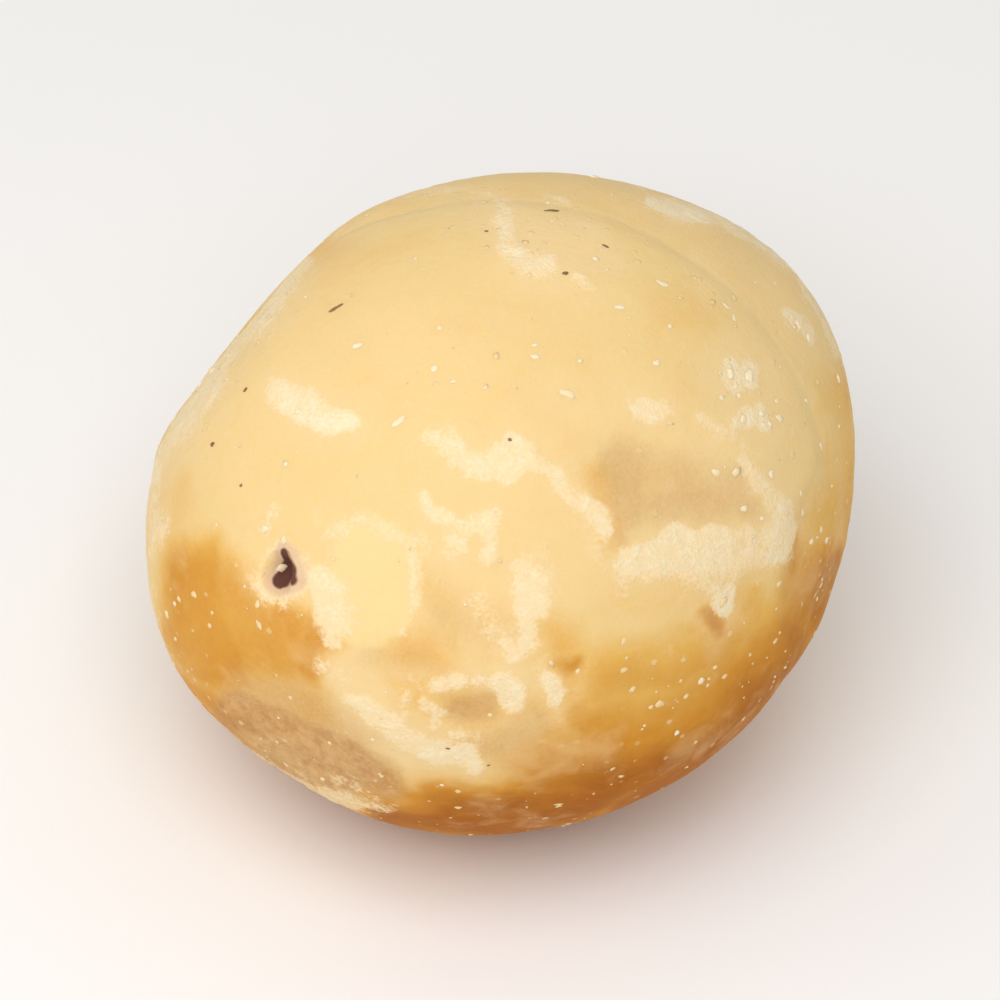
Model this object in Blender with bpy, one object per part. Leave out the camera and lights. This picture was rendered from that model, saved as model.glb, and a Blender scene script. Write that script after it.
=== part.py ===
"""A whole roasted macadamia kernel, out of its shell, lying on a small flat spot.

Metres, +Z up. The origin is on the surface that the kernel lies on, under its middle.
The kernel is one solid, as it grew: two seed halves pressed together along a faint seam,
with the blunt germ point at the left end and the broad scar of the shell stalk at the right.

Its shape is a sphere whose surface is moved in or out along each direction by a formula.
The face that shows best is the one seen from the front and VIEW_ELEVATION above, so a place
on it is given by how far it lies across, up and towards the eye in that view.
"""

import math
from typing import NamedTuple

import bmesh
import bpy
from mathutils import Matrix, Vector, noise

MM = 0.001

# Driving dimensions
LONG_RADIUS = 9.62 * MM
SHORT_RADIUS = 8.45 * MM
DEPTH_RADIUS = 8.95 * MM
REST_HEIGHT = 8.40 * MM
REST_SOFTNESS = 0.14 * MM
REST_PRESS = 0.08 * MM
SEAM_DEPTH = 0.09 * MM
SEAM_HALF_WIDTH = 0.32 * MM
SEAM_STEP = 0.06 * MM
SEAM_PINCH = 0.10 * MM
SEAM_PINCH_HALF_WIDTH = 1.9 * MM
SEAM_FADE = 3.6 * MM
GERM_RISE = 0.42 * MM
GERM_SPREAD = 1.15 * MM
GERM_BLUNTNESS = 1.5
SCAR_RADIUS = 2.7 * MM
SCAR_DEPTH = 0.16 * MM
SCAR_RIM_RISE = 0.09 * MM
SCAR_RIM_HALF_WIDTH = 0.45 * MM
SCAR_EDGE_STEEPNESS = 6
HOLLOW_EDGE_STEEPNESS = 4
PIT_HALF_LENGTH = 0.50 * MM
PIT_HALF_WIDTH = 0.34 * MM
PIT_DEPTH = 0.60 * MM
PIT_TURN = math.radians(78)
PIT_EDGE_STEEPNESS = 3

# How the kernel lies: the eye's height over the surface, and the long axis's lean in that view
VIEW_ELEVATION = math.radians(46)
LONG_AXIS_LEAN = math.radians(28)

# Uneven growth, as broad swells over the whole surface
SWELL_RISE = 0.13 * MM
SWELL_SCALE = 1.7
WAVE_RISE = 0.035 * MM
WAVE_SCALE = 4.6
SWELL_SEED = Vector((3.1, 7.4, 1.9))
WAVE_SEED = Vector((11.3, 2.2, 5.7))

# Fineness of the mesh: splits of an icosahedron, and how far from the middle of the seam
# and of the pit the triangles are made finer again
SPHERE_SPLITS = 5
SEAM_FINE_WITHIN = 1.0 * MM
PIT_FINE_WITHIN = (1.6 * MM, 1.0 * MM)

# Least share of a direction along a flat's normal for that flat to trim it, least share towards
# the eye of a place on the seen face, and what stands for a place far outside an oval
LEAST_FACING = 0.2
LEAST_TOWARD = 0.14
FAR_OUTSIDE = 1000.0

# Roasted nut flesh
FLESH_COLOUR = (0.78, 0.56, 0.27, 1.0)
FLESH_ROUGHNESS = 0.45

VIEW_RIGHT = Vector((1, 0, 0))
VIEW_UP = Vector((0, math.sin(VIEW_ELEVATION), math.cos(VIEW_ELEVATION)))
VIEW_TOWARD = Vector((0, -math.cos(VIEW_ELEVATION), math.sin(VIEW_ELEVATION)))
MEAN_RADIUS = (LONG_RADIUS + SHORT_RADIUS + DEPTH_RADIUS) / 3


def from_view(across, up, toward):
    """The unit direction from the kernel's middle that the view shows at these shares."""
    return (VIEW_RIGHT * across + VIEW_UP * up + VIEW_TOWARD * toward).normalized()


def on_seen_face(across, up):
    """The unit direction of a place on the seen face, given in metres across and up."""
    x, y = across / MEAN_RADIUS, up / MEAN_RADIUS
    return from_view(x, y, math.sqrt(max(LEAST_TOWARD**2, 1 - x * x - y * y)))


class Rise(NamedTuple):
    """A round swelling of the surface, or a lean place where its height is below nothing."""

    towards: Vector
    height: float
    spread: float


class Facet(NamedTuple):
    """A place worn or grown flat: a plane that trims the form, blended over a softness."""

    towards: Vector
    distance: float
    softness: float


class Hollow(NamedTuple):
    """A shallow oval hollow. Its length is turned from the view's right, anticlockwise."""

    towards: Vector
    half_length: float
    half_width: float
    turn: float
    depth: float


GERM_END = from_view(-0.94, 0.13, -0.28)
SCAR_END = -GERM_END
SEAM_NORMAL = from_view(0.307, 0.368, -0.878)
PIT_PLACE = on_seen_face(-5.65 * MM, -1.85 * MM)

RISES = (
    # the far half's shoulder, at the upper right
    Rise(from_view(0.80, 0.56, 0.05), 0.40 * MM, 3.2 * MM),
    # a fuller belly low on the front
    Rise(from_view(0.45, -0.85, 0.15), 0.34 * MM, 4.2 * MM),
    # the round corner over the rubbed edge, at the top left
    Rise(from_view(-0.50, 0.86, 0.05), 0.20 * MM, 1.7 * MM),
    # full cheeks low on the right, low on the left and on the back
    Rise(from_view(0.87, -0.49, 0.05), 0.26 * MM, 2.4 * MM),
    Rise(from_view(-0.90, -0.36, 0.10), 0.14 * MM, 2.6 * MM),
    Rise(from_view(0.25, 0.35, -0.90), 0.30 * MM, 5.0 * MM),
    # a leaner shoulder at the lower left
    Rise(from_view(-0.62, -0.78, 0.02), -0.24 * MM, 2.4 * MM),
)

FACETS = (
    # the long rubbed edge at the upper left
    Facet(from_view(-0.78, 0.60, 0.14), 8.20 * MM, 0.26 * MM),
    # the scuffed flat low on the left
    Facet(from_view(-0.52, -0.66, 0.54), 9.00 * MM, 0.20 * MM),
    # the two flats left by the shell on the far side
    Facet(from_view(0.52, 0.10, -0.85), 8.72 * MM, 0.26 * MM),
    Facet(from_view(-0.35, -0.55, -0.76), 8.80 * MM, 0.26 * MM),
)

REST_FACET = Facet(Vector((0, 0, -1)), REST_HEIGHT, REST_SOFTNESS)

HOLLOWS = (
    # the rubbed hollow on the right of the seen face
    Hollow(on_seen_face(4.5 * MM, 0.5 * MM), 2.2 * MM, 1.35 * MM, math.radians(-14), 0.26 * MM),
    # the small hollow low on the seen face
    Hollow(on_seen_face(-0.7 * MM, -5.6 * MM), 1.0 * MM, 0.62 * MM, math.radians(12), 0.18 * MM),
    # the smooth dip between the pale patches in the middle
    Hollow(on_seen_face(-1.0 * MM, -2.6 * MM), 0.95 * MM, 1.35 * MM, math.radians(-8), 0.10 * MM),
    # dips on the far side
    Hollow(from_view(-0.30, 0.60, -0.74), 1.9 * MM, 1.1 * MM, math.radians(35), 0.22 * MM),
    Hollow(from_view(0.62, -0.38, -0.69), 1.5 * MM, 1.0 * MM, math.radians(-50), 0.20 * MM),
)


def soft_least(first, second, softness):
    """The lesser of two lengths, rounded off where they are nearly equal."""
    least = min(first, second)
    gap = abs(first - second) / softness
    return least - softness * math.log1p(math.exp(-gap))


def egg_reach(direction):
    """Distance from the middle to the plain egg form, whose long axis leans in the view."""
    across, up = direction.dot(VIEW_RIGHT), direction.dot(VIEW_UP)
    lean_cos, lean_sin = math.cos(LONG_AXIS_LEAN), math.sin(LONG_AXIS_LEAN)
    along = (across * lean_cos + up * lean_sin) / LONG_RADIUS
    over = (up * lean_cos - across * lean_sin) / SHORT_RADIUS
    deep = direction.dot(VIEW_TOWARD) / DEPTH_RADIUS
    return 1 / math.sqrt(along * along + over * over + deep * deep)


def facet_reach(direction, facet):
    """Distance from the middle to the facet's plane, or one past all else where it faces away."""
    facing = direction.dot(facet.towards)
    return facet.distance / max(facing, LEAST_FACING)


def arc_between(direction, towards):
    """Length along the surface between two directions."""
    return MEAN_RADIUS * direction.angle(towards)


def rise_height(direction, rise):
    """How far the swelling lifts the surface here."""
    return rise.height * math.exp(-((arc_between(direction, rise.towards) / rise.spread) ** 2))


def oval_share(direction, towards, half_length, half_width, turn):
    """0 at the middle of an oval on the surface, 1 on its edge, and more outside it."""
    if direction.dot(towards) <= 0:
        return FAR_OUTSIDE
    right = (VIEW_RIGHT - towards * VIEW_RIGHT.dot(towards)).normalized()
    over = towards.cross(right)
    x, y = MEAN_RADIUS * direction.dot(right), MEAN_RADIUS * direction.dot(over)
    along = x * math.cos(turn) + y * math.sin(turn)
    aside = y * math.cos(turn) - x * math.sin(turn)
    return math.hypot(along / half_length, aside / half_width)


def hollow_depth(direction, hollow):
    """How far the hollow sinks the surface here: flat inside, with a soft edge."""
    share = oval_share(direction, hollow.towards, hollow.half_length, hollow.half_width, hollow.turn)
    return hollow.depth * math.exp(-(share**HOLLOW_EDGE_STEEPNESS))


def fade_in(direction, towards, arc):
    """0 at a place on the surface, rising smoothly to 1 at this length away from it."""
    share = min(1.0, arc_between(direction, towards) / arc)
    return share * share * (3 - 2 * share)


def seam_depth(direction):
    """The crease where the seed halves meet, in a wider pinch. The far half's edge sits lower.

    All of it fades out at the scar and under the germ point.
    """
    beyond = MEAN_RADIUS * direction.dot(SEAM_NORMAL)
    crease = SEAM_DEPTH * math.exp(-((beyond / SEAM_HALF_WIDTH) ** 2))
    pinch = SEAM_PINCH * math.exp(-((beyond / SEAM_PINCH_HALF_WIDTH) ** 2))
    far_share = (1 + math.tanh(beyond / SEAM_HALF_WIDTH)) / 2
    step = SEAM_STEP * far_share * math.exp(-abs(beyond) / SEAM_PINCH_HALF_WIDTH)
    fade = fade_in(direction, SCAR_END, SEAM_FADE) * fade_in(direction, GERM_END, SEAM_FADE)
    return (crease + pinch + step) * fade


def germ_rise(direction):
    """The blunt point over the germ."""
    return GERM_RISE * math.exp(-((arc_between(direction, GERM_END) / GERM_SPREAD) ** GERM_BLUNTNESS))


def scar_relief(direction):
    """The stalk scar: a shallow dished disc in a low rim."""
    arc = arc_between(direction, SCAR_END)
    dish = SCAR_DEPTH * math.exp(-((arc / SCAR_RADIUS) ** SCAR_EDGE_STEEPNESS))
    rim = SCAR_RIM_RISE * math.exp(-(((arc - SCAR_RADIUS) / SCAR_RIM_HALF_WIDTH) ** 2))
    return rim - dish


def pit_depth(direction):
    """The small dark pit, an upright oval with steep sides."""
    share = oval_share(direction, PIT_PLACE, PIT_HALF_LENGTH, PIT_HALF_WIDTH, PIT_TURN)
    return PIT_DEPTH * math.exp(-(share**PIT_EDGE_STEEPNESS))


def swell_height(direction):
    """Broad uneven growth and finer waves."""
    broad = noise.noise(direction * SWELL_SCALE + SWELL_SEED)
    fine = noise.noise(direction * WAVE_SCALE + WAVE_SEED)
    return SWELL_RISE * broad + WAVE_RISE * fine


def reach(direction):
    """Distance from the middle of the kernel to its surface along a unit direction."""
    length = egg_reach(direction) + sum(rise_height(direction, rise) for rise in RISES)
    for facet in (*FACETS, REST_FACET):
        length = soft_least(length, facet_reach(direction, facet), facet.softness)
    length += swell_height(direction) + germ_rise(direction) + scar_relief(direction)
    length -= seam_depth(direction) + pit_depth(direction)
    return length - sum(hollow_depth(direction, hollow) for hollow in HOLLOWS)


def refine_where(mesh, wanted):
    """Halves the edges of a unit sphere that have both their ends in a wanted place."""
    edges = [edge for edge in mesh.edges if all(wanted(vert.co) for vert in edge.verts)]
    bmesh.ops.subdivide_edges(mesh, edges=edges, cuts=1)
    bmesh.ops.triangulate(mesh, faces=mesh.faces[:])
    for vert in mesh.verts:
        vert.co.normalize()


def fine_sphere():
    """A unit sphere of triangles whose equator is the seam, finer there and round the pit."""
    mesh = bmesh.new()
    pole_on_normal = SEAM_NORMAL.to_track_quat("Z", "Y").to_matrix()
    bmesh.ops.create_icosphere(
        mesh, subdivisions=SPHERE_SPLITS, radius=1, matrix=pole_on_normal.to_4x4()
    )
    refine_where(mesh, lambda co: abs(co.dot(SEAM_NORMAL)) * MEAN_RADIUS < SEAM_FINE_WITHIN)
    for within in PIT_FINE_WITHIN:
        refine_where(mesh, lambda co: arc_between(co, PIT_PLACE) < within)
    return mesh


def shape_kernel(mesh):
    """Moves each point of the unit sphere out to the kernel's surface."""
    for vert in mesh.verts:
        vert.co = vert.co * reach(vert.co)


def press_rest_spot(mesh):
    """Presses the underside flat, and puts the origin under the middle, on that flat."""
    floor = REST_PRESS - REST_HEIGHT
    for vert in mesh.verts:
        vert.co.z = max(vert.co.z, floor)
    across = [vert.co.x for vert in mesh.verts]
    along = [vert.co.y for vert in mesh.verts]
    middle = Vector((max(across) + min(across), max(along) + min(along), 2 * floor)) / 2
    mesh.transform(Matrix.Translation(-middle))


def flesh_material():
    """Plain roasted flesh."""
    material = bpy.data.materials.new("roasted_flesh")
    material.use_nodes = True
    shader = material.node_tree.nodes["Principled BSDF"]
    shader.inputs["Base Color"].default_value = FLESH_COLOUR
    shader.inputs["Roughness"].default_value = FLESH_ROUGHNESS
    shader.inputs["Metallic"].default_value = 0
    return material


def clear_scene():
    """Removes every object of the open file."""
    for obj in list(bpy.data.objects):
        bpy.data.objects.remove(obj, do_unlink=True)


def build_kernel():
    """Makes the kernel's one object in its own collection."""
    collection = bpy.data.collections.new("macadamia_kernel")
    bpy.context.scene.collection.children.link(collection)
    mesh = fine_sphere()
    shape_kernel(mesh)
    press_rest_spot(mesh)
    bmesh.ops.recalc_face_normals(mesh, faces=mesh.faces[:])
    data = bpy.data.meshes.new("kernel")
    mesh.to_mesh(data)
    mesh.free()
    data.shade_smooth()
    data.materials.append(flesh_material())
    kernel = bpy.data.objects.new("kernel", data)
    collection.objects.link(kernel)
    return kernel


def main():
    clear_scene()
    build_kernel()


main()
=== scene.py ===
"""Looks of a whole roasted macadamia kernel, out of its shell, dressed round its solid.

The skin is the solid's own form made fine, with rubbed, worn and roasted places on it. Painted shade
browns it low down, round the lower right and in its pit, and painted highlights lie on its right
edge and in the pit. Nut crumbs, salt and dark flakes are stuck to it. Meshes are in metres. Places
on the kernel, and the sizes of what lies on it, are in millimetres: across and up on one of its two
faces, from its middle.
"""

import logging
import math
import random
from dataclasses import dataclass, field, replace
from enum import Enum
from typing import Any, Sequence

import bmesh
import bpy
import numpy as np
from mathutils import Matrix, Quaternion, Vector, noise
from mathutils.bvhtree import BVHTree


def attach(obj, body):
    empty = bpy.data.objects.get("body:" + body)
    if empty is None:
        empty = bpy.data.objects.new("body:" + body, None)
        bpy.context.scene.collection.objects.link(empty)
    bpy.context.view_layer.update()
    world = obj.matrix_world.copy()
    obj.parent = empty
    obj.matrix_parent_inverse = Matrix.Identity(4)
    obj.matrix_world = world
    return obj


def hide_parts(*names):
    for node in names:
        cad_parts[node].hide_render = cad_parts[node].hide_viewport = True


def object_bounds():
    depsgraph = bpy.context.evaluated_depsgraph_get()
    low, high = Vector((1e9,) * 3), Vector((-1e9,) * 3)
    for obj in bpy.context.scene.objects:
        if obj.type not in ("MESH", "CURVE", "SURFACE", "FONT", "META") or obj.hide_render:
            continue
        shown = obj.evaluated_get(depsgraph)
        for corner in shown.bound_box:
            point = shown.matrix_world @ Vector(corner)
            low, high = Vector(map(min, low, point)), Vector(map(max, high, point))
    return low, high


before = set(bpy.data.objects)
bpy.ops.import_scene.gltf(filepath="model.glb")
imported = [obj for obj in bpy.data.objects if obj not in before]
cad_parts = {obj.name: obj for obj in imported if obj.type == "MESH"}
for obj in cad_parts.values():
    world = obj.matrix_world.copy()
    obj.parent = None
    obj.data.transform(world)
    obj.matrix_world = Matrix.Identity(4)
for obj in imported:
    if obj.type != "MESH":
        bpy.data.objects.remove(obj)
SOLID_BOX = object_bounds()

MM = 0.001
MIDDLE_HEIGHT = 8.32
MEAN_RADIUS = 9.0
PATTERN_WAY = (1.0, 2.3, -1.7)
TINY = 1e-9
LOG = logging.getLogger("kernel")
Colour = tuple[float, float, float]
Point = tuple[float, float, float]


class Tone(Enum):
    """Colours of the kernel and of what lies on it, as linear red, green and blue."""

    CREAM = (0.86, 0.635, 0.288)
    PINK_CREAM = (0.87, 0.620, 0.318)
    GOLD = (0.80, 0.465, 0.105)
    # amber and brown are also the painted shade low down and round the lower right
    AMBER = (0.66, 0.290, 0.034)
    BROWN = (0.38, 0.105, 0.006)
    BUTTER = (0.90, 0.71, 0.34)
    TAN = (0.49, 0.236, 0.088)
    PALE_TAN = (0.67, 0.385, 0.166)
    BRIGHT_CHALK = (0.95, 0.82, 0.57)
    CHALK = (0.94, 0.745, 0.455)
    WARM_CHALK = (0.90, 0.675, 0.365)
    DUST = (0.92, 0.71, 0.39)
    CRUMB = (0.85, 0.61, 0.29)
    SALT = (0.94, 0.80, 0.54)
    BRAN = (0.22, 0.12, 0.048)
    OLIVE_BRAN = (0.28, 0.17, 0.065)
    SINGED = (0.77, 0.54, 0.36)
    # the pit's colour: burnt, partly painted shade in the hole
    BURNT_AND_SHADE = (0.150, 0.062, 0.045)
    FLOOR = (0.948, 0.954, 0.966)


class Mark(Enum):
    """Marks on the skin. Each is an attribute of its mesh, from 0 where it is absent."""

    RUBBED = "rubbed"
    HAZE = "haze"
    WORN = "worn"
    # roast, and painted shade: browner low down and round the lower right
    ROAST_AND_SHADE = "roast_and_shade"
    CLEAR = "clear"
    # the pit: its burnt colour, partly painted shade in the hole
    BURNT_AND_SHADE = "burnt_and_shade"
    DUST = "dust"
    SCAR = "scar"
    FAR_HALF = "far_half"


class Pattern(Enum):
    """The noise patterns worked into the skin's points, each with the seed that sets it apart."""

    WARP_ACROSS = 3.1
    WARP_UP = 9.7
    FINE_ACROSS = 8.1
    FINE_UP = 14.7
    WAVE = 21.0
    STIPPLE = 23.0
    LUMPS = 25.0
    GRAIN = 29.0
    SEAM = 33.0
    CLOUD = 41.0
    DRIFT_ACROSS = 51.0
    DRIFT_UP = 57.0


class Face(Enum):
    """The kernel's two faces: the one towards the photograph's eye, and the one away from it."""

    SEEN = 1
    FAR = -1


@dataclass(frozen=True)
class Eye:
    """Where the photograph looks from: the front, and some way above."""

    elevation: float = math.radians(46)

    @property
    def right(self) -> Vector:
        """The view's right."""
        return Vector((1, 0, 0))

    @property
    def up(self) -> Vector:
        """The view's up."""
        return Vector((0, math.sin(self.elevation), math.cos(self.elevation)))

    @property
    def toward(self) -> Vector:
        """From the kernel to the eye."""
        return Vector((0, -math.cos(self.elevation), math.sin(self.elevation)))

    def axes(self, face: Face) -> tuple[Vector, Vector, Vector]:
        """The right, the up and the outward direction of a face that is looked at upright."""
        return self.right * face.value, self.up, self.toward * face.value

    def direction(self, across: float, up: float, toward: float) -> Vector:
        """The unit direction that has these shares along the view's axes."""
        return (self.right * across + self.up * up + self.toward * toward).normalized()


def smooth_step(values: np.ndarray, low: Any, high: Any) -> np.ndarray:
    """Rises smoothly from 0 at low to 1 at high, or falls where high lies under low."""
    share = np.clip((values - low) / (high - low), 0, 1)
    return share * share * (3 - 2 * share)


def noise_at(points: np.ndarray, size: float, pattern: Pattern) -> np.ndarray:
    """Smooth noise at points in millimetres, from about -1 to 1, with bumps of the given size."""
    offset = Vector([pattern.value * step for step in PATTERN_WAY])
    return np.array([noise.noise(Vector(point) / size + offset) for point in points])


@dataclass(frozen=True)
class Streak:
    """A streak on one face, through points that each give across, up and half its width there.

    Its edge is soft over a short way, and it fades further out to one side.
    """

    line: tuple[Point, ...]
    strength: float = 1.0
    soft: float = 0.15
    fade: float = 0.0
    fade_turn: float = -90.0
    face: Face = Face.SEEN

    def at(self, places: np.ndarray, spread: float = 0.0) -> np.ndarray:
        """How strongly the streak shows.

        Args:
            places: Rows of across and up on its face.
            spread: How much wider and softer it is read.

        Returns:
            One value for each place, from 0 outside it to its strength.
        """
        inside = np.full(len(places), -np.inf)
        aside = np.zeros(len(places))
        turn = math.radians(self.fade_turn)
        fade_way = np.array((math.cos(turn), math.sin(turn)))
        for start, end in zip(self.line, self.line[1:] or self.line):
            first, along = np.array(start[:2]), np.array(end[:2]) - np.array(start[:2])
            length = max(float(along @ along), TINY)
            share = np.clip((places - first) @ along / length, 0, 1)
            offset = places - first - share[:, None] * along
            distance = np.linalg.norm(offset, axis=1)
            depth = start[2] + share * (end[2] - start[2]) - distance
            nearer = depth > inside
            inside = np.where(nearer, depth, inside)
            aside = np.where(nearer, offset @ fade_way / (distance + TINY), aside)
        outer = self.soft + spread + self.fade * np.maximum(aside, 0)
        return self.strength * smooth_step(inside, -outer, self.soft)


def streak(*line: Point, **options: Any) -> Streak:
    """A streak through the given points, with its other values by name."""
    return Streak(line, **options)


def far(*line: Point, **options: Any) -> Streak:
    """A streak on the far face."""
    return Streak(line, face=Face.FAR, **options)


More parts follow.
